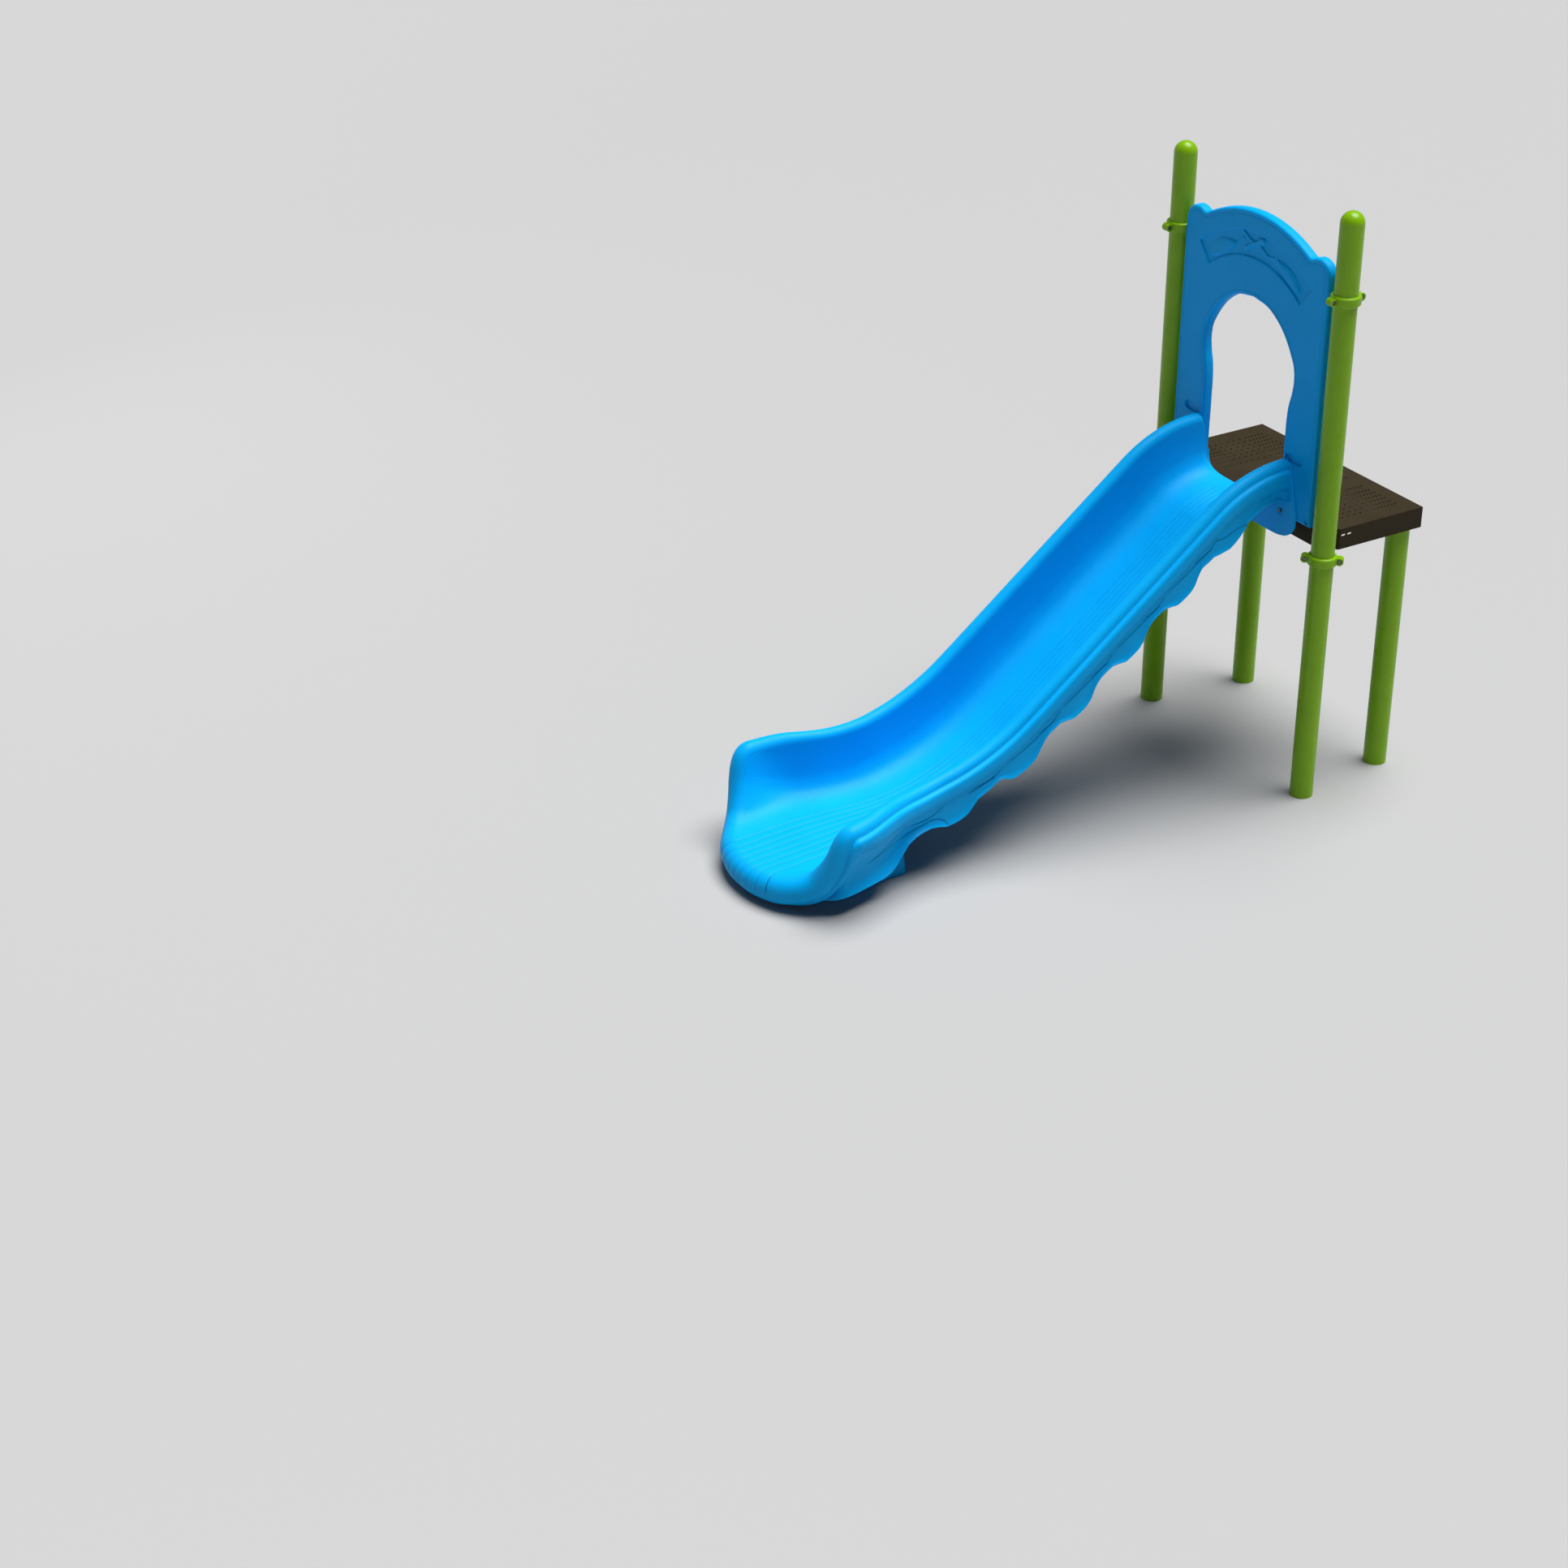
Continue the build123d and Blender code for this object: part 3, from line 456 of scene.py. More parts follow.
def slide_skin():
    """Right half of the trough as (rows, lines, 3), and the exit rim that its lines end on."""
    centre, radius, tilt = rim_front(LINES)
    along = -np.gradient(centre, LINES, axis=0)
    along[0] = (-1, 0, 0)
    along = unit(along)
    normal = np.stack([-np.sin(tilt), np.zeros_like(tilt), np.cos(tilt)], -1)
    normal = unit(normal - along * np.sum(normal * along, -1, keepdims=True))
    ahead = np.cross(normal, along)
    edge = centre + radius[:, None] * normal
    start, free = length_at_y(DECK_EDGE), length_at_y(FREE_Y)
    straight = np.linspace(start, free, int((free - start) / ROW))
    base = trough_at(np.repeat(straight[:, None], len(LINES), 1))
    ends = length_at_y(edge[:, 1] + LOW_FALL * SECTION[:, 1])
    f = np.linspace(0, 1, BENT_ROWS + 1)[1:]
    bent = trough_at(free + f[:, None] * (ends - free)[None, :])
    pull = edge - bent[-1] - GROOVE[:, None] * normal
    bent += smooth(f, 0, 1)[:, None, None] * pull[None]
    return np.concatenate([base, bent]), edge, centre, radius, normal, ahead, straight


# ---------------------------------------------------------------- slide: rim and skirt
SKIRT_TIPS = 485.0          # distance along the slope of one lobe's middle
LOBE_PITCH = 284.0
# One lobe's hem: share of the pitch from its middle, depth under the rail.
LOBE = [(-0.5, 139), (-0.40, 145), (-0.30, 160), (-0.22, 175), (-0.12, 183), (0.0, 183), (0.12, 179),
        (0.19, 162), (0.285, 144), (0.39, 140), (0.5, 139)]


def lobe_depth(s):
    """Depth of the lobed hem under the rail at distances s, its corners rounded."""
    p = (np.asarray(s, float) - SKIRT_TIPS) / LOBE_PITCH
    p = p - np.round(p)
    k = np.array(LOBE)
    q = np.linspace(-0.5, 0.5, 201)
    d = np.interp(q, k[:, 0], k[:, 1])
    kernel = np.exp(-np.linspace(-2, 2, 17) ** 2)
    ext = np.r_[d[-9:-1], d, d[1:9]]
    d = np.convolve(ext, kernel / kernel.sum(), mode="valid")
    return np.interp(p, q, d)


WAVE_HIGH = 185.0           # distance along the slope of one of the wave's high points
WAVE_DEPTH, WAVE_SWING = 101.0, 16.0
FALLING = 0.41              # share of the pitch from a high point to the next low one


def wave_depth(s):
    """Depth under the rail of the engraved line that weaves along the skirt."""
    p = (np.asarray(s, float) - WAVE_HIGH) / LOBE_PITCH
    p = p - np.floor(p)
    p = np.where(p < FALLING, p / (2 * FALLING), 0.5 + (p - FALLING) / (2 * (1 - FALLING)))
    return WAVE_DEPTH - WAVE_SWING * np.cos(2 * np.pi * p)


# Lower hem of the side near the exit as (y, z), and its plan round the front as (x, y, z).
HEM = [(-1240, -742), (-1270, -741), (-1296, -748), (-1337, -774), (-1387, -800), (-1412, -830),
       (-1433, -852), (-1461, -865), (-1493, -873), (-1522, -876), (-1550, -868), (-1585, -862),
       (-1620, -866), (-1655, -876), (-1692, -896), (-1719, -927), (-1744, -959), (-1770, -981),
       (-1802, -991), (-1845, -994), (-1908, -998), (-1990, -1006), (-2050, -1010)]
HEM_FRONT = [(356, -1950, -1002), (353, -1990, -1008), (338, -2019, -1014), (310, -2043, -1020),
             (274, -2066, -1028), (236, -2089, -1037)]
# Engraved lines on the long last lobe as (y, z).
WAVE_END = [(-1391, -747), (-1441, -750), (-1476, -756), (-1511, -770), (-1541, -791), (-1575, -812),
            (-1610, -826), (-1650, -829), (-1700, -821), (-1739, -822), (-1769, -832), (-1798, -852),
            (-1837, -872), (-1886, -900)]
BRANCH_END = [(-1515, -871), (-1530, -853), (-1550, -841), (-1575, -836), (-1606, -843), (-1660, -858),
              (-1700, -868), (-1740, -871), (-1779, -871), (-1823, -879), (-1863, -893)]
# Beside the entry: hem and engraved lines as (distance along the rail, depth under it).
ENTRY_EDGE = np.array([(-250, 175), (-190, 168), (-150, 152), (-110, 141), (-60, 139), (-10, 142), (40, 146),
                       (85, 152), (130, 168), (165, 176), (200, 180), (234, 181), (268, 166),
                       (301, 149), (340, 147), (372, 146)])
WAVE_START = [(-180, 80), (-130, 92), (-80, 104), (-30, 106), (30, 100), (85, 90), (130, 87), (170, 85)]
BRANCH_START = [(94, 158), (163, 146), (229, 129), (251, 113), (262, 107)]


def distance_to_line(a, b, points):
    """Distance in one plane from each (a, b) to a smooth line through points."""
    line = spline(points, 160)
    best = np.full(a.shape, 1e9)
    for p, q in zip(line[:-1], line[1:]):
        d = q - p
        t = np.clip(((a - p[0]) * d[0] + (b - p[1]) * d[1]) / (d @ d), 0, 1)
        best = np.minimum(best, np.hypot(a - p[0] - t * d[0], b - p[1] - t * d[1]))
    return best


# Outer side of the rail as (outward, up) from the middle of its roll: crease, bead, face, undercut.
RAIL_SIDE = [(-0.6, 2.0), (0.6, -2.4), (3.2, -2.6), (8.0, -3.4), (13.0, -5.8), (16.6, -9.5), (18.3, -14.5),
             (18.8, -22.0), (18.8, -38.0), (18.0, -47.0), (15.4, -53.5), (11.0, -58.5), (7.0, -64.0),
             (5.0, -71.0), (4.4, -78.0)]
# The same under the lip, where the bead thins out to a fine ridge.
LIP_SIDE = [(-0.2, 0.6), (0.2, -1.0), (1.2, -1.6), (3.2, -2.4), (5.2, -3.8), (6.4, -6.0), (6.6, -9.0),
            (5.4, -12.5), (1.5, -15.0), (-3.0, -16.5), (-7.0, -17.5), (-11.0, -18.5), (-15.0, -19.5),
            (-19.0, -20.5), (-24.0, -21.5)]
ROLL_STEPS, SKIRT_STEPS = 18, 84
SKIRT_END = 0.37            # section parameter where the skirt dies out under the lip
DRAW_IN, DRAW_IN_EXIT = 7.0, 30.0
NECK = 0.74                 # share of the skirt's height where it is drawn in most
ENGRAVED, LINE_HALF = 3.8, 2.2         # depth and half width of the skirt's engraved lines
FIRST_BRANCH, BRANCHES = 292.0, 5      # start of the first short line, and how many there are
BRANCH_LOW, BRANCH_RISE, BRANCH_LONG = 122.0, 17.0, 230.0
SOFTENING = 22              # smoothing passes over the face where the rail turns into the lip
BEAD_POINTS = 9             # points of RAIL_SIDE that make the bead, which stays crisp
ENTRY_SWELL = 8.0           # how far the skirt swells out to meet the apron


def rail_length(rail_top, y):
    """Distance along the rail, set so that the lobes' figures hold on the straight slope."""
    s = np.r_[0, np.cumsum(np.linalg.norm(np.diff(rail_top, axis=0), axis=1))]
    mid = int(np.argmin(np.abs(y + 700)))
    along = -(rail_top[mid, 1] + 220) * math.cos(SLOPE) + (DEPTH - rail_top[mid, 2]) * math.sin(SLOPE)
    return s + (along - s[mid])


def skirt_depth(s, rail_top, up):
    """Depth of the hem under the rail: the entry's, the lobes', then the drawn hem beside the exit."""
    entry = smooth(s, 325, 372)
    depth = lobe_depth(s) * entry + np.interp(s, ENTRY_EDGE[:, 0], ENTRY_EDGE[:, 1]) * (1 - entry)
    hem = np.array(HEM, float)
    t = np.linspace(60, 330, 541)
    probe = rail_top[:, None] - t[None, :, None] * up[:, None]
    under = probe[:, :, 2] < np.interp(-probe[:, :, 1], -hem[:, 0], hem[:, 1])
    hit = t[np.argmax(under, axis=1)]
    to_hem = smooth(-(rail_top[:, 1] - hit * up[:, 1]), 1250, 1290)
    return depth * (1 - to_hem) + hit * to_hem


def skirt_between(top, bottom, y, out):
    """Skirt from the face's lower edge to the hem, drawn in between them, and most so near the exit."""
    side_rows, front_rows = len(y), len(bottom) - len(y)
    way = np.gradient(bottom[:, :2], axis=0)
    aside = unit(np.stack([-way[:, 1], way[:, 0], np.zeros(len(way))], -1))
    aside *= np.sign(aside[:, :1])
    aside[:side_rows] = out
    q = np.linspace(0, 1, SKIRT_STEPS)
    bend = np.where(q < NECK, np.sin(np.pi / 2 * q / NECK), 1 - (np.clip(q - NECK, 0, 1) / (1 - NECK)) ** 1.6)
    exit_part = np.r_[smooth(-y, 1500, 1780), np.ones(front_rows)]
    draw_in = DRAW_IN + (DRAW_IN_EXIT - DRAW_IN) * exit_part
    draw_in[side_rows:] *= np.linspace(1, 0.15, front_rows + 1)[1:]
    skirt = top[:, None] * (1 - q)[None, :, None] + bottom[:, None] * q[None, :, None]
    return skirt - (draw_in[:, None] * bend[None])[:, :, None] * aside[:, None]


def line_cut(distance):
    """Profile of an engraved line: 1 in its middle, fading out to both sides."""
    return np.exp(-(distance / LINE_HALF) ** 2)


def engraving(side, s, y, rail_top, up):
    """Share of their full depth that the engraved lines have at each point of the side's skirt."""
    down = np.einsum("rkc,rc->rk", rail_top[:, None] - side, up)
    lobed = smooth(s, 100, 150) * (1 - smooth(-y, 1375, 1395))
    cut = lobed[:, None] * line_cut(down - wave_depth(s)[:, None])
    for k in range(BRANCHES):
        s0 = FIRST_BRANCH + LOBE_PITCH * k
        seen = smooth(s, s0 - 12, s0 + 6) * (1 - smooth(s, s0 + 222, s0 + 236))
        line = BRANCH_LOW - BRANCH_RISE * (s - s0) / BRANCH_LONG
        cut = np.maximum(cut, (seen * lobed)[:, None] * line_cut(down - line[:, None]))
    s_grid = np.repeat(s[:, None], SKIRT_STEPS, 1)
    for pts in (WAVE_START, BRANCH_START):
        cut = np.maximum(cut, line_cut(distance_to_line(s_grid, down, pts)))
    for pts in (WAVE_END, BRANCH_END):
        cut = np.maximum(cut, line_cut(distance_to_line(side[:, :, 1], side[:, :, 2], pts)))
    return cut


def rim_profile():
    """Right half of the skin: trough, rolled rim, outer face and skirt, with the painted shade in its lines.

    The rim's rows run from the entry along the rail, then round the exit to the lip's middle.
    """
    inner, edge, centre, radius, normal, ahead, straight = slide_skin()
    free = length_at_y(FREE_Y)
    rail_end = length_at_y(edge[-1, 1] + LOW_FALL * SECTION[-1, 1])
    bent = free + np.linspace(0, 1, BENT_ROWS + 1)[1:] * (rail_end - free)
    y, _, slope = floor_at(np.r_[straight, bent])
    rail_r = RAIL_ROLL + (radius[-1] - RAIL_ROLL) * smooth(-y, 1650, 1945)
    up = np.stack([np.zeros_like(slope), -np.sin(slope), np.cos(slope)], -1)
    out = np.repeat([[1.0, 0, 0]], len(slope), 0)
    inner_line = inner[:, -1]
    rail_tube = inner_line + rail_r[:, None] * out
    # The rolled tube: its middle, radius, direction where the roll starts and direction it turns to.
    # Rows round the front follow the trough's lines from the rail's end to the middle.
    tube = np.concatenate([rail_tube, centre[-2::-1]])
    tube_r = np.r_[rail_r, radius[-2::-1]]
    start = np.concatenate([-out, normal[-2::-1]])
    turn = np.concatenate([up, ahead[-2::-1]])
    rail_rows, front_rows = len(rail_tube), len(LINES) - 1
    groove = np.r_[np.zeros(rail_rows), GROOVE[-2::-1]]
    # roll
    phi = np.radians(np.linspace(0, 160, ROLL_STEPS))
    ray = np.cos(phi)[None, :, None] * start[:, None] + np.sin(phi)[None, :, None] * turn[:, None]
    fade = 1 - smooth(phi, math.radians(85), math.radians(125))
    ring = tube[:, None] + (tube_r[:, None] - groove[:, None] * fade[None])[:, :, None] * ray
    ring[:, 0] = np.concatenate([inner_line, (edge - GROOVE[:, None] * normal)[-2::-1]])
    # bead and outer face, which thin out towards the lip's middle
    ts = np.r_[np.ones(rail_rows), LINES[-2::-1]]
    thin = 1 - smooth(ts, 0.25, 0.90)
    shallow = np.maximum(0.45 * smooth(np.r_[-y, np.full(front_rows, 1950.0)], 1800, 1950),
                         1 - 0.55 * smooth(ts, 0.30, 1.0) * (1 - (ts == 1)) - (ts == 1))
    size = tube_r / RAIL_ROLL
    rail_pts = np.array(RAIL_SIDE)[None] * np.stack([np.ones_like(size), size], -1)[:, None]
    blend = np.stack([thin, shallow], -1)[:, None]
    mixed = rail_pts * (1 - blend) + np.array(LIP_SIDE)[None] * blend
    face = (tube[:, None] - (tube_r[:, None] + mixed[:, :, 0])[:, :, None] * start[:, None]
            + mixed[:, :, 1:2] * turn[:, None])
    last = rail_rows + int(np.sum(LINES[:-1] >= SKIRT_END))
    for _ in range(SOFTENING):
        part = face[rail_rows - 24:last + 6, BEAD_POINTS:]
        part[1:-1] = 0.5 * part[1:-1] + 0.25 * (part[:-2] + part[2:])
    # skirt, from under the face down to the lobed edge
    rail_top = rail_tube + rail_r[:, None] * up
    s_rail = rail_length(rail_top, y)
    bottom = rail_top - skirt_depth(s_rail, rail_top, up)[:, None] * up
    bottom[:, 0] = 301 + 12 * smooth(-y, 1500, 1800) + 0.95 * (flare_at(y) - first_flare(y))
    bottom = np.concatenate([bottom, spline(HEM_FRONT, last - rail_rows + 1)[1:]])
    skirt = skirt_between(face[:last, -1], bottom, y, out)
    cut = engraving(skirt[:rail_rows], s_rail, y, rail_top, up)
    swell = ENTRY_SWELL * (1 - smooth(-y, 34, 78)) ** 2
    skirt[:rail_rows, :, 0] -= ENGRAVED * cut
    skirt[:rail_rows, :, 0] += swell[:, None] * smooth(np.linspace(0, 1, SKIRT_STEPS), 0.0, 0.25)[None]
    # painted shade along the grooves round the lip
    ring_shade = RING_LINE_SHADE * groove[:, None] / GROOVE.max() * fade[None]
    return inner, ring, face, skirt, rail_rows, last, ring_shade, cut


# Painted shade in the lines: grooves in the floor, grooves round the lip, the seam at the lip's right.
FLOOR_LINE_SHADE, RING_LINE_SHADE, SEAM_SHADE = 0.45, 0.4, 1.6
SKIN_WALL = 0.0055          # metres, as modifiers take them


def build_slide():
    inner, ring, face, skirt, rail_rows, last, ring_shade, cut = rim_profile()
    start_rail = int(np.argmin(np.abs(inner[:, -1, 1] - PANEL_FACE)))
    # painted shade along the floor's grooves
    inner_shade = FLOOR_LINE_SHADE * np.repeat((GROOVE / GROOVE.max())[None], inner.shape[0], axis=0)
    skirt_shade = np.zeros(skirt.shape[:2])
    # painted shade along the skirt's engraved lines
    skirt_shade[:rail_rows] = cut
    seam_row = rail_rows + len(GROOVE) - 2 - int(np.argmin(np.abs(SECTION[:, 0] - GROOVE_XS[-1])))
    strip = np.concatenate([ring, face], axis=1)
    low = np.concatenate([strip[start_rail:last, -1:], skirt[start_rail:, 1:]], axis=1)
    verts, faces, painted_shades = [], [], []

    def add(grid, painted_shade, flip):
        base = len(verts)
        verts.extend(grid.reshape(-1, 3))
        painted_shades.extend(painted_shade.reshape(-1))
        faces.extend(grid_faces(grid.shape[0], grid.shape[1], base, flip))

    for sign in (1, -1):
        side = np.array([sign, 1, 1])
        strip_shade = np.concatenate([ring_shade, np.zeros(face.shape[:2])], axis=1)
        if sign > 0:
            # painted shade: the seam at the lip's right is the darkest stretch of its groove
            strip_shade[seam_row, 3:ROLL_STEPS * 3 // 5] = SEAM_SHADE
        add(inner * side, inner_shade, sign > 0)
        add(strip[start_rail:] * side, strip_shade[start_rail:], sign > 0)
        add(low * side, skirt_shade[start_rail:], sign > 0)
    ob = mesh_object("slide_skin", verts, faces, SLIDE_BLUE)
    # the painted shade for grooves and lines is kept on the mesh for the material to read
    painted_shade = ob.data.attributes.new("painted_line_shade", "FLOAT", "POINT")
    painted_shade.data.foreach_set("value", np.array(painted_shades, dtype=np.float32))
    weld(ob)
    # the trough's floor faces up
    turn_outward(ob, lambda p: -abs(p.x) - abs(p.y - 0.2), 2)
    solid = ob.modifiers.new("wall", "SOLIDIFY")
    solid.thickness = SKIN_WALL
    solid.offset = -1.0
    solid.use_even_offset = False
    return ob


slide = build_slide()
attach(slide, "root")
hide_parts("slide_chute")

# ---------------------------------------------------------------- moulded foot under the exit
FOOT_HALF, FOOT_FRONT, FOOT_BACK, FOOT_WALL = 205.0, -2060.0, -1640.0, 8.0
FOOT_DRAFT, FOOT_CORNER, GROUND = 20.0, 26.0, -DECK_TOP
FOOT_SINK = 5.6             # from the trough's upper face down to the foot's top edge


def foot_ring(v, inset):
    """Rounded rectangle at the share v of the foot's height, shrunk by inset."""
    half, r = FOOT_HALF - inset, FOOT_CORNER - inset
    front, back = FOOT_FRONT - FOOT_DRAFT * (1 - v) + inset, FOOT_BACK + FOOT_DRAFT * (1 - v) - inset
    ring = []
    for k, (sx, y, sy) in enumerate(((1, back, 1), (-1, back, 1), (-1, front, -1), (1, front, -1))):
        for a in np.linspace(0, math.pi / 2, 9) + k * math.pi / 2:
            py = y - sy * r + r * math.sin(a)
            top = float(floor_at(length_at_y(np.array([py])))[1][0]) - FOOT_SINK
            ring.append((sx * (half - r) + r * math.cos(a), py, GROUND + v * (top - GROUND)))
    return ring


def build_foot():
    heights = np.linspace(1, 0.014, 12)
    rings = [foot_ring(v, 0.0) for v in heights] + [foot_ring(0.0, 2.0), foot_ring(0.0, FOOT_WALL - 2.0)]
    rings += [foot_ring(v, FOOT_WALL) for v in heights[::-1]]
    grid = np.array(rings)
    grid = np.concatenate([grid, grid[:, :1]], axis=1)
    faces = grid_faces(grid.shape[0], grid.shape[1])
    ob = mesh_object("exit_foot_shell", list(grid.reshape(-1, 3)), faces, SLIDE_BLUE)
    weld(ob)
    turn_outward(ob, lambda p: p.x, 0)
    return ob


exit_foot = build_foot()
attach(exit_foot, "root")
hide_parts("slide_chute")


# ---------------------------------------------------------------- moulded plates: entry panel and apron
def closed_offset(pts, o):
    """Closed outline moved inward by o, with sharp corners kept."""
    p = np.asarray(pts, float)
    e = np.roll(p, -1, 0) - p
    e /= np.linalg.norm(e, axis=1, keepdims=True)
    n1 = np.stack([-e[:, 1], e[:, 0]], -1)
    n0 = np.roll(n1, 1, 0)
    m = n0 + n1
    m /= np.maximum(np.sum(m * m, -1, keepdims=True) / 2, 0.4)
    return p + o * m


def resample(points, step):
    """Even points about a step apart along an open outline."""
    p = np.asarray(points, float)
    d = np.r_[0, np.cumsum(np.linalg.norm(np.diff(p, axis=0), axis=1))]
    k = max(2, int(round(d[-1] / step)) + 1)
    t = np.linspace(0, d[-1], k)
    return np.stack([np.interp(t, d, p[:, j]) for j in (0, 1)], -1)


def arc_points(x, z, r, a0, a1, step=5.0):
    """Points about a step apart along an arc, its angles in degrees."""
    k = max(3, int(abs(math.radians(a1 - a0)) * r / step))
    a = np.radians(np.linspace(a0, a1, k))
    return np.stack([x + r * np.cos(a), z + r * np.sin(a)], -1)


def soften(p, passes):
    """Open outline with its corners smoothed by repeated averaging."""
    p = p.copy()
    for _ in range(passes):
        p[1:-1] = 0.5 * p[1:-1] + 0.25 * (p[:-2] + p[2:])
    return p


def plate(name, outline, front, back, r_front, r_back, material, line=None, inner=None, height=None):
    """Moulded plate in the x-z plane with rounded edges and, where given, an engraved line and a relief."""
    n = len(outline)
    rings = []
    for t in np.radians([90, 65, 40, 20, 0]):
        rings.append((r_back * (1 - math.cos(t)), back - r_back * (1 - math.sin(t))))
    for t in np.radians([0, 15, 30, 45, 60, 75, 90]):
        rings.append((r_front * (1 - math.cos(t)), front + r_front * (1 - math.sin(t))))
    edge = r_front + 1.5
    if line:
        depth, at = line
        for o, k in ((-2.0, 0), (-1.1, 0.5), (-0.5, 0.95), (0.5, 0.95), (1.1, 0.5), (2.0, 0)):
            rings.append((r_front + at + o, front + depth * k))
        edge = r_front + at + 4.0
    rings.append((edge, front))
    verts, faces = [], []
    for o, y in rings:
        q = closed_offset(outline, o)
        verts.extend(np.stack([q[:, 0], np.full(n, y), q[:, 1]], -1))
    for r in range(len(rings) - 1):
        for i in range(n):
            a, b = r * n + i, r * n + (i + 1) % n
            faces.append((a, b, b + n, a + n))

    def fill(loop, extra, depth_of):
        flat = [Vector((float(a), float(b))) for a, b in np.concatenate([loop, extra])]
        ring = [(i, (i + 1) % len(loop)) for i in range(len(loop))]
        out = geometry.delaunay_2d_cdt(flat, ring, [], 1, 1e-4)
        base = len(verts)
        pts = np.array([(v.x, v.y) for v in out[0]])
        y = depth_of(pts[:, 0], pts[:, 1])
        verts.extend(np.stack([pts[:, 0], y, pts[:, 1]], -1))
        faces.extend(tuple(base + i for i in f) for f in out[2])

    none = np.empty((0, 2))
    fill(closed_offset(outline, edge), none if inner is None else inner,
         lambda x, z: front - (height(x, z) if height else 0 * x))
    fill(closed_offset(outline, r_back), none, lambda x, z: back + 0 * x)
    ob = mesh_object(name, np.array(verts), faces, material)
    weld(ob, 0.00002)
    return ob


PANEL_FRONT, PANEL_BACK = -28.4, 13.4
PANEL_LINE = (1.3, 6.5)     # depth of the line round the panel, and its distance past the rounded edge
HALF, FOOT, SHOULDER = 414.5, 2.5, 957
LEG_IN = 239                # inner side of the panel's legs
OPENING = [(LEG_IN, FOOT), (LEG_IN, 60), (238, 160), (237, 300), (238, 385), (243, 430), (255, 478),
           (261, 530), (255, 575), (228, 628), (172, 699), (92, 752), (0, 770)]
ARCH_R, LOBE_R = 585.5, 65.0
FAN_Z, FAN_IN, FAN_OUT, FAN_HALF, FAN_DEEP = 504.0, 408.0, 508.0, 40.0, 6.5
LEAF_HEIGHT, STROKE_HEIGHT, VEIN_DEPTH = 8.0, 7.5, 0.9
POCKET_X, POCKET_Z, POCKET_WIDE, POCKET_HIGH, POCKET_DEEP = 303.0, 237.0, 47.0, 21.0, 10.0


def panel_outline():
    side = resample([(HALF, FOOT), (HALF, SHOULDER)], 8)[:-1]
    lobe = arc_points(HALF - LOBE_R, SHOULDER, LOBE_R, 0, 133.4)
    arch = arc_points(0, FAN_Z, ARCH_R, 58.6, 90)
    outer = np.concatenate([side[-12:], lobe, arch[1:]])
    outer = np.concatenate([side[:-12], soften(outer, 10)])
    right_hole = resample(spline(OPENING, 400), 6)
    foot = resample([(LEG_IN, FOOT), (HALF, FOOT)], 8)
    right = np.concatenate([foot[:-1], outer])
    mirror = np.array([-1, 1])
    left = (right * mirror)[::-1]
    hole = np.concatenate([(right_hole * mirror)[1:], right_hole[::-1][1:-1]])
    return np.concatenate([right, left[1:], hole])


def stroke(x, z, pts, r0, r1):
    """Rounded raised stroke through points, its radius going from r0 to r1."""
    line = spline(pts, 40)
    out = np.zeros_like(x)
    for i, (p, q) in enumerate(zip(line[:-1], line[1:])):
        d = q - p
        t = np.clip(((x - p[0]) * d[0] + (z - p[1]) * d[1]) / (d @ d), 0, 1)
        r = r0 + (r1 - r0) * i / 39
        g = np.hypot(x - p[0] - t * d[0], z - p[1] - t * d[1]) / r
        out = np.maximum(out, min(r * 0.9, STROKE_HEIGHT) * np.sqrt(np.clip(1 - g * g, 0, 1)))
    return out


def leaf(x, z, base, tip, upper, lower):
    """Pointed leaf with a ridge along its middle and side veins on the upper half."""
    b, axis = np.array(base, float), np.array(tip, float) - np.array(base, float)
    size = np.hypot(*axis)
    u = axis / size
    t = ((x - b[0]) * u[0] + (z - b[1]) * u[1]) / size
    s = -(x - b[0]) * u[1] + (z - b[1]) * u[0]
    if upper < 0:
        s, upper = -s, -upper
    swell = np.sin(np.pi * np.clip(t, 0, 1) ** 0.8) ** 0.8
    width = np.where(s > 0, upper, lower) * swell + 1e-6
    g = np.clip(1 - np.abs(s) / width, 0, 1) * (t > 0) * (t < 1)
    h = LEAF_HEIGHT * np.minimum(1, 1.6 * g ** 0.8) * np.minimum(1, 3 * swell)
    vein = np.exp(-((np.mod((t - 0.12 + 0.0025 * s) * 6, 1) - 0.5) / 0.07) ** 2) * (s > 2) * (g > 0.1)
    return h - VEIN_DEPTH * vein


# Leaves as base, tip, width above and below the midrib; strokes as points, first and last radius.
LEAVES = [((-256, 858), (-112, 944), 46, 20), ((254, 858), (114, 946), -36, 18)]
STROKES = [([(-80, 1000), (-52, 984), (-20, 972)], 6.5, 5.5), ([(-62, 938), (-30, 958), (22, 986)], 9.5, 8.5),
           ([(20, 985), (38, 990)], 15, 13), ([(8, 976), (38, 958), (62, 944), (97, 946)], 7.5, 4.0),
           ([(-80, 976), (-102, 950)], 4.5, 3.0)]


def panel_height(x, z):
    """Relief of the panel's front: sunk fan with leaves and strokes, and the two pockets over the rails."""
    r, a = np.hypot(x, z - FAN_Z), np.degrees(np.arctan2(x, z - FAN_Z))
    inside = np.minimum(smooth(r, FAN_IN, FAN_IN + 9), smooth(-r, -FAN_OUT - 0.8, -FAN_OUT + 1.6))
    inside = np.minimum(inside, smooth(FAN_HALF - np.abs(a), 0, 1.1))
    art = [leaf(x, z, *shape) for shape in LEAVES] + [stroke(x, z, *shape) for shape in STROKES]
    h = (np.max(art, axis=0) - FAN_DEEP) * inside
    for side in (1, -1):
        px, pz = side * x - POCKET_X, z - POCKET_Z
        bowl = np.clip(1 - (px / POCKET_WIDE) ** 4 - (pz / POCKET_HIGH) ** 2, 0, 1)
        h = h - POCKET_DEEP * smooth(bowl, 0.0, 0.5)
    return h


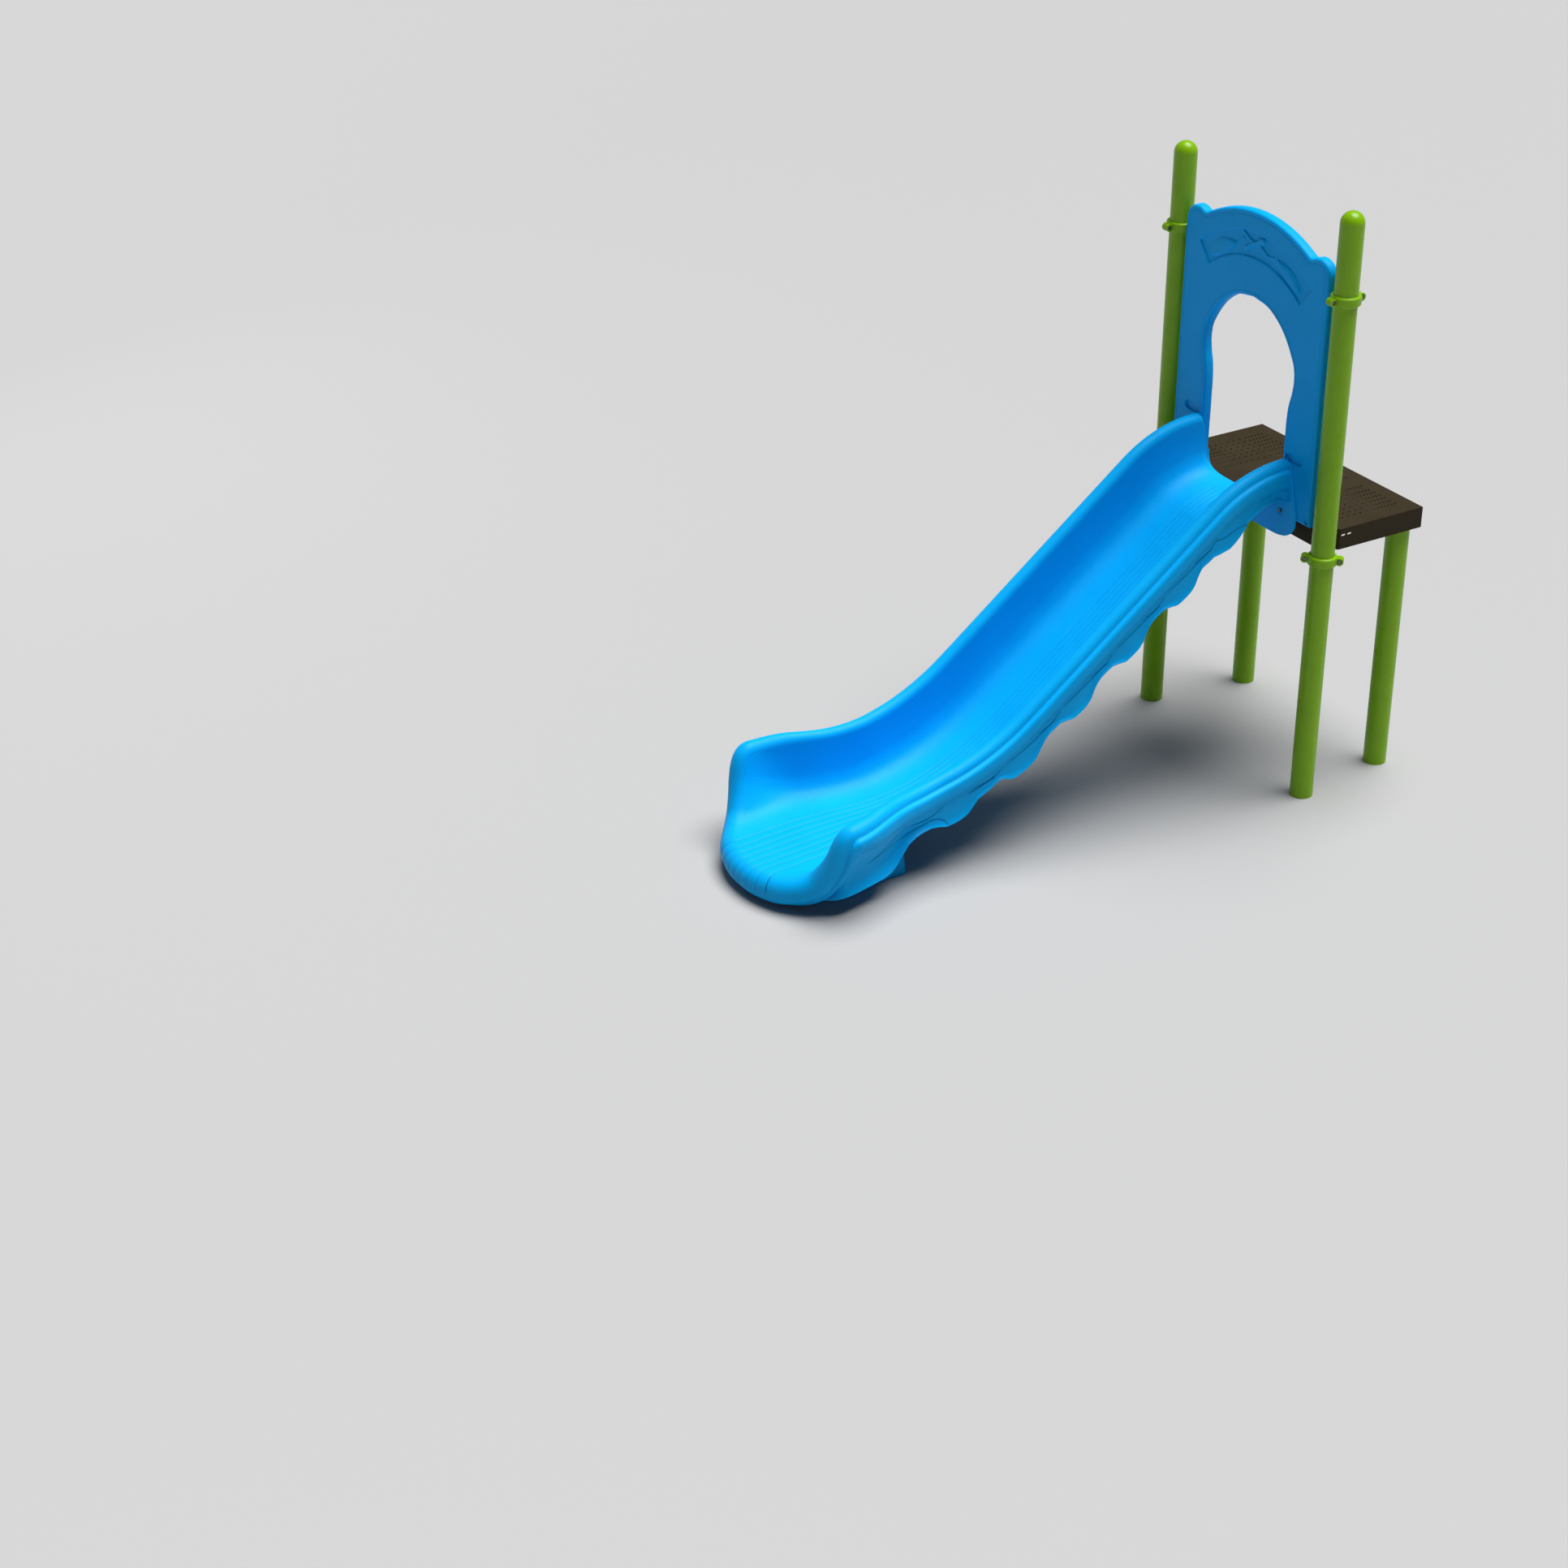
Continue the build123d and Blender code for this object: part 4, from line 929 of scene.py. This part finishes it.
def panel_points():
    """Points of the front face where the relief needs them: close together along the fan's edges."""
    r = np.r_[398, 402, 405, np.arange(407, 420, 1.5), np.arange(421, 504, 2.4),
              np.arange(504.5, 512, 1.1), 515, 519]
    a = np.r_[-43, -42, -41, np.arange(-40.3, -38.4, 0.22), np.arange(-38.2, 38.3, 0.3),
              np.arange(38.5, 40.4, 0.22), 41, 42, 43]
    rr, aa = np.meshgrid(r, np.radians(a))
    fan = np.stack([rr * np.sin(aa), FAN_Z + rr * np.cos(aa)], -1).reshape(-1, 2)
    px, pz = np.meshgrid(np.arange(257, 354, 2.5), np.arange(211, 263, 2.5))
    pocket = np.stack([px, pz], -1).reshape(-1, 2)
    return np.concatenate([fan, pocket, pocket * [-1, 1]])


panel = plate("panel_moulding", panel_outline(), PANEL_FRONT, PANEL_BACK, 12.0, 8.0, PANEL_BLUE,
              line=PANEL_LINE, inner=panel_points(), height=panel_height)
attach(panel, "root")
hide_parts("entry_panel")

APRON_FRONT = -37.5
APRON_SIDE = [(0, -80), (120, -80), (200, -81), (262, -78), (300, -68), (328, -48), (345, -18), (347, 12),
              (335, 68), (316, 140), (302, 196), (296, 212), (282, 221)]
APRON_IN = [(276, 214), (262, 190), (252, 150), (243, 110), (234, 66), (212, 29), (176, 6), (130, -3),
            (0, -5)]
BOLT_X, BOLT_Z = 262, 20    # the apron's bolts to the panel, each in a shallow recess
RECESS_DEPTH = 2.6


def apron_outline():
    outer = resample(spline(APRON_SIDE, 300), 6)
    inner_edge = resample(spline(APRON_IN, 300), 8)
    right = np.concatenate([outer, inner_edge])
    left = (right * [-1, 1])[::-1]
    return np.concatenate([right, left[1:-1]])


def apron_height(x, z):
    d = np.hypot(np.abs(x) - BOLT_X, z - BOLT_Z)
    return -RECESS_DEPTH * (1 - smooth(d, 13, 20))


def apron_points():
    x, z = np.meshgrid(np.arange(-26, 27, 2.6), np.arange(-26, 27, 2.6))
    p = np.stack([BOLT_X + x.ravel(), BOLT_Z + z.ravel()], -1)
    return np.concatenate([p, p * [-1, 1]])


apron = plate("slide_apron", apron_outline(), APRON_FRONT, PANEL_FACE, 4.0, 1.0, SLIDE_BLUE,
              inner=apron_points(), height=apron_height)
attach(apron, "root")
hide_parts("slide_chute")

# ---------------------------------------------------------------- stage, light, camera
scene = bpy.context.scene
FLOOR_HALF = 45.0           # metres
MIDDLE = (0.0, 0.0, 0.9)    # metres, about the slide's middle
SUN_POWER, SUN_SPREAD, SUN_FROM = 5.3, 45, (0.07, 0.24, 1.0)
SKY_STOPS = [(0.04, (0.30, 0.30, 0.30)), (0.22, (0.04, 0.04, 0.04))]    # height of the direction, grey
CAMERA_LENS, CAMERA_AT, CAMERA_TILT, CAMERA_TURN = 71.80, (8.4477, -6.2386, 5.8131), 61.207, 58.940


def build_floor():
    me = bpy.data.meshes.new("floor")
    s = FLOOR_HALF
    me.from_pydata([(-s, -s, 0), (s, -s, 0), (s, s, 0), (-s, s, 0)], [], [(0, 1, 2, 3)])
    ob = bpy.data.objects.new("floor", me)
    scene.collection.objects.link(ob)
    m, nt, bsdf = new_material("floor_pale")
    noise = node(nt, "TexNoise", Scale=3.0, Detail=3.0)
    nt.links.new(ramp(nt, noise.outputs["Fac"], [(0.3, (0.39, 0.39, 0.39)), (0.7, (0.415, 0.415, 0.415))]),
                 bsdf.inputs["Base Color"])
    bsdf.inputs["Roughness"].default_value = 0.85
    me.materials.append(m)
    return ob


build_floor()


def area_light(name, place, aim, size, power):
    data = bpy.data.lights.new(name, "AREA")
    data.energy, data.size = power, size
    ob = bpy.data.objects.new(name, data)
    scene.collection.objects.link(ob)
    ob.location = place
    ob.rotation_euler = (Vector(aim) - Vector(place)).to_track_quat("-Z", "Y").to_euler()
    return ob


scene.view_settings.view_transform = "Standard"
sun_data = bpy.data.lights.new("key", "SUN")
sun_data.energy = SUN_POWER
sun_data.angle = math.radians(SUN_SPREAD)
sun = bpy.data.objects.new("key", sun_data)
scene.collection.objects.link(sun)
sun.rotation_euler = Vector(SUN_FROM).to_track_quat("Z", "Y").to_euler()
area_light("fill", (5.5, -5.5, 3.0), MIDDLE, 4.0, 8)
area_light("side", (-5.5, -2.0, 3.0), MIDDLE, 4.0, 14)
world = bpy.data.worlds.new("soft")
scene.world = world
world.use_nodes = True
sky = world.node_tree
sky_dir = sky.nodes.new("ShaderNodeTexCoord")
sky_split = sky.nodes.new("ShaderNodeSeparateXYZ")
sky_ramp = sky.nodes.new("ShaderNodeValToRGB")
sky.links.new(sky_dir.outputs["Generated"], sky_split.inputs[0])
sky.links.new(sky_split.outputs["Z"], sky_ramp.inputs[0])
for stop, (height, grey) in zip(sky_ramp.color_ramp.elements, SKY_STOPS):
    stop.position = height
    stop.color = (*grey, 1)
sky.links.new(sky_ramp.outputs[0], sky.nodes["Background"].inputs[0])
sky.nodes["Background"].inputs[1].default_value = 1.0

cam_data = bpy.data.cameras.new("camera")
cam_data.sensor_width = 36.0
cam_data.lens = CAMERA_LENS
cam = bpy.data.objects.new("camera", cam_data)
scene.collection.objects.link(cam)
cam.location = CAMERA_AT
cam.rotation_euler = (math.radians(CAMERA_TILT), 0.0, math.radians(CAMERA_TURN))
scene.camera = cam

# ---------------------------------------------------------------- carried-over nodes
LOOKS = {
    "front_post": LIME, "post_cap": LIME, "rear_leg": LIME, "panel_clamp": LIME, "deck_clamp": LIME,
    "deck_platform": DECK_BROWN, "deck_stiffeners": DECK_BROWN, "entry_panel": PANEL_BLUE,
    "panel_inserts": BRASS, "slide_inserts": BRASS, "exit_anchor_angles": GALVANISED,
}
for name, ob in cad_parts.items():
    look = next((m for key, m in LOOKS.items() if name.startswith(key)), STEEL)
    if not ob.material_slots:
        ob.data.materials.append(look)
    for s in ob.material_slots:
        s.link = "OBJECT"
        s.material = look
